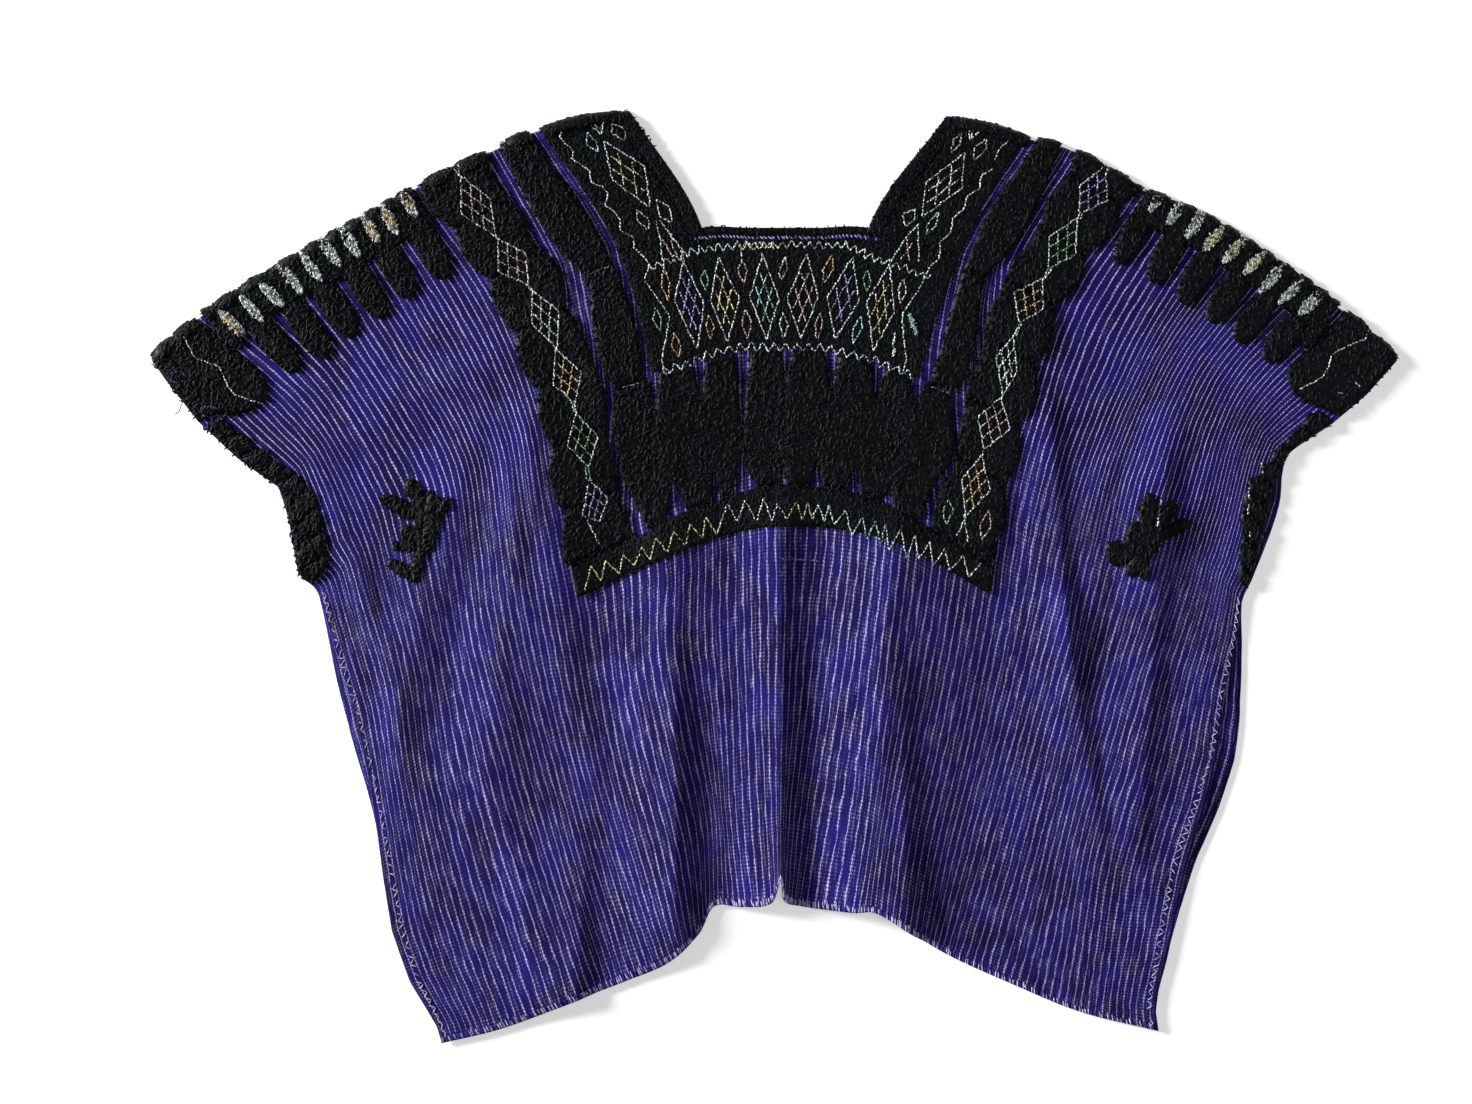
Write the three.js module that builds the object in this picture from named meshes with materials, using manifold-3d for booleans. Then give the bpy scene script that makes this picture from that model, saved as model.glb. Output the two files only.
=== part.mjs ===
// A wide handwoven blouse laid out flat, front up, in millimetres.
// X runs across the blouse, Y from the hem towards the neck, Z up from the floor.
// One web of cloth is folded over at the shoulders: the back lies under the front,
// and the pile embroidery stands on the front as separate pieces.
import * as THREE from 'three';
import Module from 'manifold-3d';
import { mergeVertices } from 'three/addons/utils/BufferGeometryUtils.js';

const wasm = await Module();
wasm.setup();

// Wall of the woven cloth, gap between two pieces and stand of the embroidery
const clothWall = 1.5;
const gap = 0.3;
const pile = 1.9;

// Lengths along the warp, from the shoulder fold down, and half widths across it
const neckDepth = 99;
const neckHalf = 47;
const hemLength = 594;
const webHalf = 343;
const bandStart = 290;
const bandEnd = 320;

// Inside radius of the shoulder fold, which goes round the back's edge
const foldRadius = clothWall + gap;

// Warp lines of the front as it lies: a row per line, named by its place across the
// web, then its x and y at each station down the cloth
const stations = [0, 99, 191, 255, 320, 388, 457, 525, 594];
const warpLines = [
  [-281, -417, 196, -343, 130, -298, 54, -280, -8, -264, -69, -255, -137, -240, -204, -221, -270, -198, -334],
  [-233, -343, 241, -288, 158, -243, 80, -232, 17, -223, -46, -205, -113, -188, -179, -167, -244, -144, -313],
  [-189, -297, 267, -244, 183, -204, 103, -193, 40, -183, -23, -169, -91, -152, -157, -134, -222, -110, -300],
  [-152, -263, 287, -207, 206, -173, 123, -161, 61, -146, -17, -135, -85, -121, -152, -102, -217, -80, -287],
  [-106, -209, 313, -162, 228, -126, 142, -111, 80, -96, 6, -94, -62, -80, -129, -64, -196, -56, -265],
  [-79, -172, 329, -117, 243, -92, 157, -82, 94, -68, 17, -68, -49, -58, -114, -47, -179, -45, -245],
  [-47, -107, 342, -54, 256, -46, 162, -41, 96, -39, 28, -39, -40, -35, -108, -32, -176, -25, -245],
  [-18, -30, 344, -17, 256, -13, 164, -13, 100, -12, 34, -11, -34, -10, -102, -7, -171, -3, -241],
  [0, 7, 344, 7, 256, 7, 164, 7, 100, 7, 35, 7, -34, 5, -102, 4, -170, 4, -224],
  [18, 47, 344, 32, 256, 30, 164, 30, 100, 31, 35, 24, -34, 18, -102, 11, -170, 7, -239],
  [47, 126, 338, 69, 256, 63, 164, 61, 100, 61, 31, 53, -37, 43, -106, 32, -174, 21, -245],
  [79, 187, 322, 135, 240, 105, 154, 95, 92, 92, 22, 84, -46, 75, -114, 67, -180, 56, -248],
  [106, 218, 314, 167, 230, 139, 142, 126, 80, 118, 9, 107, -60, 95, -122, 82, -188, 74, -248],
  [152, 268, 286, 213, 205, 184, 118, 169, 55, 159, -15, 147, -78, 133, -142, 118, -204, 106, -268],
  [192, 323, 261, 269, 177, 232, 94, 214, 33, 200, -30, 184, -96, 166, -162, 148, -228, 132, -283],
  [233, 365, 234, 302, 156, 268, 77, 253, 16, 237, -46, 220, -113, 204, -179, 187, -245, 172, -301],
  [281, 411, 202, 343, 128, 316, 48, 297, -14, 277, -74, 258, -141, 240, -208, 230, -274, 223, -322],
];

// Edges of the front as it lies, from the sleeve tip down: a row per bend, with its
// length down the cloth, x and y
const leftEdge = [
  [0, -461, 160], [18, -451, 145], [59, -426, 113], [100, -396, 85], [136, -366, 64],
  [161, -359, 40], [203, -352, 0], [220, -338, -11], [252, -329, -41], [292, -318, -78],
  [323, -309, -108], [370, -300, -152], [411, -294, -189], [450, -289, -226], [497, -283, -263],
  [539, -270, -300], [581, -250, -333], [594, -246, -346],
];
const rightEdge = [
  [0, 460, 159], [35, 437, 133], [70, 411, 111], [96, 388, 96], [107, 377, 88],
  [127, 370, 70], [158, 364, 45], [188, 357, 16], [211, 350, -8], [221, 345, -17],
  [256, 341, -48], [307, 331, -93], [357, 326, -137], [401, 317, -174], [445, 305, -211],
  [489, 297, -248], [534, 289, -285], [561, 283, -307], [577, 281, -322], [594, 283, -337],
];

// Folds of the front: a row per ridge, with the x and y of both ends, the height at
// each end, and the widths of its left and right slopes
const folds = [
  [-10, 26, -10, -245, 2, 15, 27, 11],
  [67, 14, 54, -245, 2, 9, 22, 26],
  [159, -122, 155, -285, 2, 7, 20, 22],
  [189, 92, 211, -263, 3, 7, 22, 24],
  [259, 11, 259, -167, 4, 3, 24, 22],
  [-200, 11, -196, -315, 3, 6, 30, 34],
  [-63, -93, -61, -278, 1, 9, 22, 8],
  [-130, -34, -137, -285, 2, 4, 28, 20],
  [-279, 40, -305, -90, 3, 4, 20, 18],
  [-345, 85, -189, 170, 3, 3, 24, 24],
  [345, 110, 196, 170, 3, 3, 24, 24],
];

// Strips of the back that show beside the front: a row per strip, with its side, the
// length down the cloth where it starts, is widest and ends, and its width
const backStrips = [
  [-1, 210, 320, 420, 7],
  [1, 98, 150, 226, 7],
  [1, 215, 330, 540, 14],
];

const materials = {
  cloth: { color: 0x3d2a8c, roughness: 0.85, metalness: 0 },
  yarn: { color: 0x0b0b0d, roughness: 0.95, metalness: 0 },
};

// Smooth step from 0 to 1
function ease(t) {
  const k = Math.min(1, Math.max(0, t));
  return k * k * (3 - 2 * k);
}

// Value of a smooth curve through the points of a table at place t
function curve(places, values, t) {
  const last = places.length - 1;
  let i = 0;
  while (i < last - 1 && t > places[i + 1]) i += 1;
  const slope = (k) => {
    const a = Math.max(0, k - 1);
    const b = Math.min(last, k + 1);
    return (values[b] - values[a]) / (places[b] - places[a]);
  };
  const span = places[i + 1] - places[i];
  const s = (t - places[i]) / span;
  if (s < 0) return values[0] + slope(0) * (t - places[0]);
  if (s > 1) return values[last] + slope(last) * (t - places[last]);
  const s2 = s * s;
  const s3 = s2 * s;
  return (2 * s3 - 3 * s2 + 1) * values[i] + (s3 - 2 * s2 + s) * span * slope(i)
    + (3 * s2 - 2 * s3) * values[i + 1] + (s3 - s2) * span * slope(i + 1);
}

// Value of a table's column at a place, in straight lines between its rows
function read(table, place, column) {
  let i = 0;
  while (i < table.length - 2 && place > table[i + 1][0]) i += 1;
  const [a, b] = [table[i], table[i + 1]];
  const s = (place - a[0]) / (b[0] - a[0]);
  return a[column] + s * (b[column] - a[column]);
}

const across = [-webHalf, ...warpLines.map((row) => row[0]), webHalf];

// Where the cloth's point u across and v down lies in plan
function plan(u, v) {
  const inner = warpLines.map((row) => [
    curve(stations, stations.map((_, k) => row[1 + 2 * k]), v),
    curve(stations, stations.map((_, k) => row[2 + 2 * k]), v),
  ]);
  const sides = [leftEdge, rightEdge].map((edge) => [read(edge, v, 1), read(edge, v, 2)]);
  const line = [sides[0], ...inner, sides[1]];
  return [curve(across, line.map((p) => p[0]), u), curve(across, line.map((p) => p[1]), u)];
}

// Height of the folds above the back at a place in plan
function foldHeight(x, y) {
  let height = 0;
  for (const [x0, y0, x1, y1, start, end, left, right] of folds) {
    const length = Math.hypot(x1 - x0, y1 - y0);
    const [dx, dy] = [(x1 - x0) / length, (y1 - y0) / length];
    const along = (x - x0) * dx + (y - y0) * dy;
    const aside = (x - x0) * -dy + (y - y0) * dx;
    const beyond = Math.max(0, -along, along - length) / 28;
    const side = aside / (aside > 0 ? right : left);
    const t = Math.min(1, Math.max(0, along / length));
    height += (start + (end - start) * t) * Math.exp(-side * side - beyond * beyond);
  }
  return height;
}

// Height of the front's underside: flat at the shoulders and side edges, folded between
function underside(u, v, x, y) {
  const fade = ease((webHalf - Math.abs(u)) / 60) * ease(v / 60);
  return clothWall + gap + foldHeight(x, y) * fade;
}

// Direction down the cloth in plan
function downCloth(u, v) {
  const [x0, y0] = plan(u, v);
  const [x1, y1] = plan(u, v + 2);
  return new THREE.Vector3(x1 - x0, y1 - y0, 0).normalize();
}

// Underside of the front: a flat or folded sheet, and the roll at the shoulder for v
// below zero, where -1 is the fold's outermost line
function frontPoint(u, v) {
  if (v >= 0) {
    const from = foldRadius + clothWall;
    const down = from + v * (1 - from / hemLength);
    const [x, y] = plan(u, down);
    return new THREE.Vector3(x, y, underside(u, v, x, y));
  }
  const [x, y] = plan(u, 0);
  const centre = new THREE.Vector3(x, y, 0).addScaledVector(downCloth(u, 0), foldRadius + clothWall);
  const turn = -v * Math.PI / 2;
  centre.addScaledVector(downCloth(u, 0), -foldRadius * Math.sin(turn));
  centre.z = foldRadius * Math.cos(turn);
  return centre;
}

// Places across and down where the front is divided; the neck falls on exact lines
function divide(from, to, pieces) {
  return Array.from({ length: pieces }, (_, i) => from + (to - from) * i / pieces);
}
const columns = [
  ...divide(-webHalf, -152, 12), ...divide(-152, -neckHalf, 9), ...divide(-neckHalf, neckHalf, 14),
  ...divide(neckHalf, 152, 9), ...divide(152, webHalf, 12), webHalf,
];
const rows = [-1, -0.66, -0.33, ...divide(0, neckDepth, 4), ...divide(neckDepth, hemLength, 15), hemLength];

// Grid of the front's underside and of its directions away from the body of the cloth
const grid = rows.map((v) => columns.map((u) => frontPoint(u, v)));
const outward = grid.map((line, j) => line.map((p, i) => {
  const right = grid[j][Math.min(i + 1, columns.length - 1)].clone().sub(grid[j][Math.max(i - 1, 0)]);
  if (rows[j] < 0) {
    const down = downCloth(columns[i], 0);
    const turn = -rows[j] * Math.PI / 2;
    return new THREE.Vector3(-down.x * Math.sin(turn), -down.y * Math.sin(turn), Math.cos(turn));
  }
  const up = grid[Math.max(j - 1, 3)][i].clone().sub(grid[Math.min(j + 1, rows.length - 1)][i]);
  return right.cross(up).normalize();
}));

// Closed sheet that follows the front's grid between two distances from its underside
function frontSheet(inner, outer, isCloth) {
  const wide = columns.length;
  const points = [];
  for (const reach of [inner, outer]) {
    for (let j = 0; j < rows.length; j += 1) {
      for (let i = 0; i < wide; i += 1) points.push(grid[j][i].clone().addScaledVector(outward[j][i], reach));
    }
  }
  const top = rows.length * wide;
  const has = (j, i) => j >= 0 && i >= 0 && j < rows.length - 1 && i < wide - 1
    && isCloth((columns[i] + columns[i + 1]) / 2, (rows[j] + rows[j + 1]) / 2);
  const faces = [];
  const quad = (a, b, c, d) => faces.push([a, b, c], [a, c, d]);
  for (let j = 0; j < rows.length - 1; j += 1) {
    for (let i = 0; i < wide - 1; i += 1) {
      if (!has(j, i)) continue;
      const [a, b, c, d] = [j * wide + i, j * wide + i + 1, (j + 1) * wide + i + 1, (j + 1) * wide + i];
      quad(a, b, c, d);
      quad(top + a, top + d, top + c, top + b);
      if (!has(j - 1, i)) quad(b, a, top + a, top + b);
      if (!has(j + 1, i)) quad(d, c, top + c, top + d);
      if (!has(j, i - 1)) quad(a, d, top + d, top + a);
      if (!has(j, i + 1)) quad(c, b, top + b, top + c);
    }
  }
  return solid(points, faces);
}

// Solid from points and faces, without points that no face uses
function solid(points, faces) {
  const used = new Map();
  const flat = [];
  for (const index of faces.flat()) {
    if (used.has(index)) continue;
    used.set(index, used.size);
    flat.push(points[index].x, points[index].y, points[index].z);
  }
  return new wasm.Manifold(new wasm.Mesh({
    numProp: 3,
    vertProperties: new Float32Array(flat),
    triVerts: new Uint32Array(faces.flat().map((index) => used.get(index))),
  }));
}

// Upright block over a closed outline in plan
function prism(outline, low, high) {
  const loop = outline.map(([x, y]) => new THREE.Vector2(x, y));
  if (THREE.ShapeUtils.isClockWise(loop)) loop.reverse();
  const count = loop.length;
  const points = [low, high].flatMap((z) => loop.map((p) => new THREE.Vector3(p.x, p.y, z)));
  const faces = [];
  for (const [a, b, c] of THREE.ShapeUtils.triangulateShape(loop, [])) {
    faces.push([a, c, b], [a + count, b + count, c + count]);
  }
  for (let i = 0; i < count; i += 1) {
    const next = (i + 1) % count;
    faces.push([i, next, next + count], [i, next + count, i + count]);
  }
  return solid(points, faces);
}

// Mesh of a solid in the frame, in one material
function named(name, body, material) {
  const { vertProperties, triVerts } = body.getMesh();
  const geometry = new THREE.BufferGeometry();
  geometry.setAttribute('position', new THREE.BufferAttribute(new Float32Array(vertProperties), 3));
  geometry.setIndex(new THREE.BufferAttribute(new Uint32Array(triVerts), 1));
  const mesh = new THREE.Mesh(mergeVertices(geometry, 1e-4), new THREE.MeshStandardMaterial(materials[material]));
  mesh.name = name;
  return mesh;
}

// Whether a place on the web is cloth and not the neck hole
function isWeb(u, v) {
  return Math.abs(u) > neckHalf || v > neckDepth;
}

function front() {
  return frontSheet(0, clothWall, isWeb);
}

// Width of the back's strip that shows beside the front
function stripWidth(side, v) {
  let width = 0;
  for (const [of, start, widest, end, most] of backStrips) {
    const rise = v < widest ? ease((v - start) / (widest - start)) : ease((end - v) / (end - widest));
    if (of === side) width = Math.max(width, most * rise);
  }
  return width;
}

// Back: a flat slab whose shoulder edge lies inside the fold and whose hem stops short
function back() {
  const shoulder = foldRadius + clothWall;
  const hem = hemLength - 5;
  const outline = [];
  const add = (u, v) => outline.push(plan(u, v));
  const side = (direction) => divide(shoulder, hem, 30).map((v) => {
    const [x, y] = plan(direction * webHalf, v);
    return [x + direction * stripWidth(direction, v), y];
  });
  divide(-webHalf, -neckHalf, 12).forEach((u) => add(u, shoulder));
  divide(shoulder, neckDepth, 3).forEach((v) => add(-neckHalf, v));
  divide(-neckHalf, neckHalf, 4).forEach((u) => add(u, neckDepth + 2));
  divide(neckDepth, shoulder, 3).forEach((v) => add(neckHalf, v));
  divide(neckHalf, webHalf, 12).forEach((u) => add(u, shoulder));
  outline.push(...side(1));
  divide(webHalf, -webHalf, 36).forEach((u) => add(u, hem));
  outline.push(...side(-1).slice(1).reverse());
  return prism(outline, 0, clothWall);
}

// Pile that stands on the front all over; each motif is cut from it
const pileSheet = frontSheet(clothWall + gap, clothWall + gap + pile, () => true);

// Outline between two lines down the cloth, given as places across it
function standing(leftAt, rightAt, from, to, pieces) {
  const places = [...divide(from, to, pieces), to];
  const left = places.map((v) => mark(leftAt(v), v));
  const right = places.map((v) => mark(rightAt(v), v));
  return [...left, ...right.reverse()];
}

// Outline between two lines across the cloth, given as lengths down it; bends are places
// across where either line turns sharply
function lying(topAt, bottomAt, from, to, pieces, bends = []) {
  const places = [...new Set([...divide(from, to, pieces), to, ...bends])].sort((a, b) => a - b);
  const top = places.map((u) => mark(u, topAt(u)));
  const bottom = places.map((u) => mark(u, bottomAt(u)));
  return [...top, ...bottom.reverse()];
}

// Place in plan of a point on the web; above the shoulder it runs straight on
function mark(u, v) {
  if (v >= 0) return plan(u, v);
  const [x, y] = plan(u, 0);
  const down = downCloth(u, 0);
  return [x + down.x * v, y + down.y * v];
}

// Motif cut from the pile
function motif(outline) {
  return pileSheet.intersect(prism(outline, 0.2, 60));
}

// Distance above the shoulder that clears the fold
const overFold = -6;

// Lobes: 0 between two of them and 1 at the middle of each
function lobe(place, start, pitch) {
  return Math.abs(Math.sin(Math.PI * (place - start) / pitch));
}

// Edging round the neck, 6 mm wide
const edging = 6;
function neckEdging() {
  const outer = prism([
    ...standing(() => -neckHalf - edging, () => 0, overFold, neckDepth + edging, 8).slice(0, 9),
    ...standing(() => 0, () => neckHalf + edging, overFold, neckDepth + edging, 8).slice(9),
  ], 0.2, 60);
  const hole = prism([
    ...divide(overFold - 2, neckDepth, 6).map((v) => mark(-neckHalf, v)),
    ...divide(-neckHalf, neckHalf, 6).map((u) => mark(u, neckDepth)),
    ...divide(neckDepth, overFold - 2, 6).map((v) => mark(neckHalf, v)),
    mark(neckHalf, overFold - 2),
  ], 0, 70);
  return pileSheet.intersect(outer).subtract(hole);
}

// Edges beside the neck: a row per bend, with the length down the cloth, and then for the
// left and the right how far out the strap ends and the inner column starts and ends
const innerEdges = [
  [-8, 80, 85, 101, 77, 83, 98], [20, 80, 84.5, 102.5, 77.5, 83, 103],
  [40, 79.5, 84, 103, 78, 82.5, 106.5], [62, 79.5, 83.5, 103, 79, 82.5, 109],
  [76, 79.5, 83.2, 102.5, 80.5, 83.5, 110], [94, 79.5, 83, 101, 81, 85, 107],
  [106, 79.5, 83.5, 96, 81, 85.5, 102], [120, 79.5, 83, 96, 81, 86, 100.5],
  [133, 79.5, 82.5, 97.5, 81, 87, 103], [150, 79.5, 82, 102, 81, 87, 106],
  [168, 79.5, 82, 104, 81, 88.5, 107], [186, 79.5, 82.5, 104, 81, 88, 107],
  [201, 79.5, 86, 101, 81, 88, 102],
];

// How far out the outer columns start: a row per bend, with the length down the cloth
// and the places on the left and the right
const outerEdges = [
  [-8, 108, 108], [20, 113, 114], [40, 110, 111], [62, 109, 116], [76, 111, 117],
  [94, 105.5, 112], [106, 104.5, 111.5], [120, 107, 112], [130, 110.5, 109.5],
  [146, 107.5, 110], [165, 108, 113], [186, 108, 108.5], [200, 106.5, 109],
  [214, 110.5, 111], [232, 113, 111], [256, 112, 110.8], [270, 114, 103.5], [299, 110, 101],
];

function strap(side) {
  const inner = neckHalf + edging + gap;
  const column = side < 0 ? 1 : 4;
  return motif(standing(() => side * inner, (v) => side * read(innerEdges, v, column), overFold, 103, 12));
}

// Lattice panel under the neck; its lower edge drops towards the ends
function panelBottom(u) {
  return 188 + 12 * Math.min(1, Math.abs(u) / 78) ** 2;
}
function neckPanel() {
  const top = (u) => (Math.abs(u) < 54 ? 110 : 104);
  return motif(lying(top, panelBottom, -79.5, 81, 44));
}

// Column of two ovals between the strap and the outer column, pinched where they meet
function innerColumn(side) {
  const [near, far] = side < 0 ? [2, 3] : [5, 6];
  const edge = (column) => (v) => side * read(innerEdges, v, column);
  return motif(standing(edge(near), edge(far), overFold, 200.5, 30));
}

// Paired hexagons down the side, a lobe on each edge between two diamonds
const diamondPitch = 45.5;
function outerColumn(side) {
  const [column, start] = side < 0 ? [1, 41] : [2, 17];
  const outer = (v) => side * (149.5 + 6 * lobe(v, start, diamondPitch));
  return motif(standing((v) => side * read(outerEdges, v, column), outer, overFold, 299, 60));
}

// Slits of cloth that part the pointed ovals under the panel: a row per slit, with the
// places across of its left foot, point and right foot, and how far down it points
const upperSlits = [
  [-83, -81, -75, 229], [-58, -56, -51, 224], [-34, -30, -22, 255], [-2, 0, 5, 216],
  [23, 28, 35, 219], [52, 58, 64, 224], [77, 83, 85, 226],
];
const lowerSlits = [
  [-87, -77, -72, 273], [-55, -51, -48, 270], [-40, -31, -18, 262], [-3, -1, 2, 273],
  [14, 19, 21, 267], [37, 45, 50, 273], [63, 70, 73, 283],
];

// Rounded ends of the block: a row per bend, with the place across, top and bottom
const leftBlockEnd = [[100, 202, 299], [103, 206, 287], [106, 215, 276], [108, 223, 268], [110, 241, 258]];
const rightBlockEnd = [[92, 202, 299], [98, 202, 277], [101, 204, 268], [104, 222, 263], [109.5, 233, 250]];

// How far a slit reaches at place u, from 0 at its feet to 1 at its point
function slit(u, [left, point, right]) {
  const t = u < point ? (u - left) / (point - left) : (right - u) / (right - point);
  return Math.max(0, t) ** 1.3;
}

function bandTop(u) {
  return bandStart - 1 + 11 * Math.min(1, Math.abs(u) / 100) ** 1.3;
}

function chestBlock() {
  const end = (u) => (u < 0 ? leftBlockEnd : rightBlockEnd);
  const isEnd = (u) => Math.abs(u) > end(u)[0][0];
  const top = (u) => {
    const edge = panelBottom(u) + 1.5;
    const cuts = upperSlits.map((row) => edge + (row[3] - edge) * slit(u, row));
    return Math.max(...cuts, isEnd(u) ? read(end(u), Math.abs(u), 1) : edge);
  };
  const bottom = (u) => {
    const edge = bandTop(u) - 1;
    const cuts = lowerSlits.map((row) => edge + (row[3] - edge) * slit(u, row));
    return Math.min(...cuts, isEnd(u) ? read(end(u), Math.abs(u), 2) : edge);
  };
  const bends = [...upperSlits, ...lowerSlits].flatMap((row) => row.slice(0, 3));
  return motif(lying(top, bottom, -110, 109.5, 62, bends));
}

function chestBand() {
  return motif(lying(bandTop, () => bandEnd, -152, 152, 40));
}

// Long ovals of the shoulder rows: a row per oval, with the x and y of both ends and half
// its width
const leftOvals = [
  [-414, 192, -394, 168, 8], [-388, 195, -352, 150, 10.5], [-359, 202, -330, 161, 10.5],
  [-338, 217, -310, 176, 10.5], [-314, 231, -288, 190, 10.5], [-292, 248, -268, 204, 10.5],
  [-266, 266, -243, 218, 10.5],
];
const rightOvals = [
  [275, 273, 253, 229, 9.5], [300, 256, 278, 215, 10.5], [323, 240, 300, 200, 10.5],
  [346, 225, 321, 186, 10.5], [368, 211, 341, 171, 10.5], [390, 194, 362, 157, 10.5],
  [408, 192, 388, 168, 7.5],
];

// Lens-shaped openings for metallic stitches between the heads of the ovals: rows as above
const leftLenses = [
  [-409, 194, -391, 176, 4], [-394, 205, -377, 187, 3.5], [-379, 214, -362, 198, 4],
  [-367, 232, -348, 207, 4], [-349, 237, -334, 216, 3.5], [-337, 251, -320, 227, 4],
  [-323, 260, -306, 234, 4], [-305, 266, -292, 245, 4], [-290, 272, -278, 251, 4],
  [-277, 284, -264, 264, 4],
];
const rightLenses = [
  [288, 285, 276, 268, 3.5], [302, 276, 289, 258, 4], [316, 268, 303, 248, 4],
  [329, 255, 316, 239, 4], [347, 249, 330, 230, 4], [360, 236, 345, 222, 4],
  [376, 229, 357, 208, 4], [388, 216, 371, 200, 3.5], [403, 208, 386, 192, 4],
];

// Row of ovals over the shoulder fold: a band of joined heads with long ovals below it,
// kept clear of the sleeve end
function shoulderRow(side) {
  const [ovals, lenses, depth, end] = side < 0
    ? [leftOvals, leftLenses, 30, 287] : [rightOvals, rightLenses, 25, 286.5];
  const heads = prism(lying(() => overFold, () => depth, side * 157, side * end, 30), 0.2, 60);
  const room = prism(standing(() => side * 140, () => side * (end + 2.5), overFold, 120, 12), 0.2, 60);
  const whole = ovals.reduce((sum, row) => sum.add(leaf(row, 0.5, 16)), heads).intersect(room);
  return pileSheet.intersect(lenses.reduce((rest, row) => rest.subtract(leaf(row, 0.5, 8)), whole));
}

// Pair of large hexagons at the sleeve end: a row per bend, with the length down the
// cloth and the places where the pair starts and ends
const leftPair = [
  [-6, 292, 342.5], [10, 291, 342.5], [27, 290.5, 342.5], [53, 290.5, 342.5], [60, 290.5, 342.5],
  [64, 291, 330], [72, 294, 325], [80, 300, 312],
];
const rightPair = [
  [-6, 295, 342.5], [15, 293.5, 342.5], [33, 293, 342.5], [54, 291.5, 342.5], [62, 295, 342.5],
  [66, 301, 326], [69, 307, 318],
];
function sleeveEnd(side) {
  const table = side < 0 ? leftPair : rightPair;
  const edge = (column) => (v) => side * read(table, v, column);
  return motif(standing(edge(1), edge(2), overFold, table[table.length - 1][0], 26));
}

// Edging of the arm opening: a row per bend, with the length down the cloth and the width
const leftArmEdge = [
  [66, 10], [90, 12], [105, 13], [127, 14], [142, 18], [161, 25], [176, 24], [192, 24], [208, 19], [214, 12],
];
const rightArmEdge = [
  [67.5, 13], [78, 12], [98, 9], [112, 8], [130, 15], [148, 26], [170, 25], [182, 20], [202, 15], [214, 8],
];
function armholeEdging(side) {
  const table = side < 0 ? leftArmEdge : rightArmEdge;
  const inner = (v) => side * (webHalf - read(table, v, 1) - 3 * lobe(v, 84, 17));
  return motif(standing(inner, () => side * (webHalf - 0.5), table[0][0], 214, 40));
}

// Leaf sprays: a row per leaf, with the x and y of both ends and half its width
const leftSpray = [
  [-269, 69, -266, 57, 6], [-288, 56, -266, 45, 6], [-263, 61, -262, 36, 5], [-253, 59, -256, 37, 5],
  [-241, 55, -250, 40, 4], [-252, 44, -257, 20, 6], [-275, 33, -260, 26, 6], [-280, 22, -262, 20, 4],
  [-260, 23, -266, -3, 5], [-284, 9, -269, 0, 5],
];
const rightSpray = [
  [275, 57, 272, 31, 6], [292, 52, 280, 31, 5], [304, 38, 283, 29, 5], [283, 28, 258, 22, 7],
  [265, 38, 260, 22, 4], [249, 23, 253, 8, 7], [278, 19, 255, 13, 5], [269, 14, 262, 1, 6],
  [271, 14, 272, -2, 4],
];

// Oval block in plan; its ends lie at reach times its length from its middle
function leaf([x0, y0, x1, y1, half], reach, sides) {
  const length = Math.hypot(x1 - x0, y1 - y0);
  const outline = divide(0, 2 * Math.PI, sides).map((angle) => {
    const along = 0.5 - reach * Math.cos(angle);
    const aside = half * Math.sign(Math.sin(angle)) * Math.abs(Math.sin(angle)) ** 0.8 / length;
    return [x0 + (x1 - x0) * along - (y1 - y0) * aside, y0 + (y1 - y0) * along + (x1 - x0) * aside];
  });
  return prism(outline, 0.2, 60);
}

function spray(leaves) {
  return pileSheet.intersect(leaves.map((row) => leaf(row, 0.62, 12)).reduce((sum, one) => sum.add(one)));
}

const group = new THREE.Group();
group.name = 'blouse';
group.add(named('back', back(), 'cloth'));
group.add(named('front', front(), 'cloth'));
group.add(named('neck_edging', neckEdging(), 'yarn'));
group.add(named('neck_panel', neckPanel(), 'yarn'));
group.add(named('chest_block', chestBlock(), 'yarn'));
group.add(named('chest_band', chestBand(), 'yarn'));
for (const [side, word] of [[-1, 'left'], [1, 'right']]) {
  group.add(named(`strap_${word}`, strap(side), 'yarn'));
  group.add(named(`inner_column_${word}`, innerColumn(side), 'yarn'));
  group.add(named(`outer_column_${word}`, outerColumn(side), 'yarn'));
  group.add(named(`shoulder_row_${word}`, shoulderRow(side), 'yarn'));
  group.add(named(`sleeve_end_${word}`, sleeveEnd(side), 'yarn'));
  group.add(named(`armhole_edging_${word}`, armholeEdging(side), 'yarn'));
}
group.add(named('spray_left', spray(leftSpray), 'yarn'));
group.add(named('spray_right', spray(rightSpray), 'yarn'));

// The origin is the middle of the blouse's underside
const extent = new THREE.Box3().setFromObject(group);
const middle = extent.getCenter(new THREE.Vector3());
for (const mesh of group.children) mesh.geometry.translate(-middle.x, -middle.y, -extent.min.z);

export default group;
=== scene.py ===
# %% [markdown]
# # A handwoven blouse laid out flat
#
# A wide square-necked blouse lies front up on a pale floor. It is one web of
# striped cloth folded over at the shoulders, with thick black pile embroidery
# and metallic thread worked on it. Every piece below is built on one map of the
# cloth, so stripes, pile, threads and stitches all follow the same warp lines.
#
# The first cell loads the imported solids, which fix the size and the place of
# every piece, and counts them before anything is added.

import math

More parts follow.
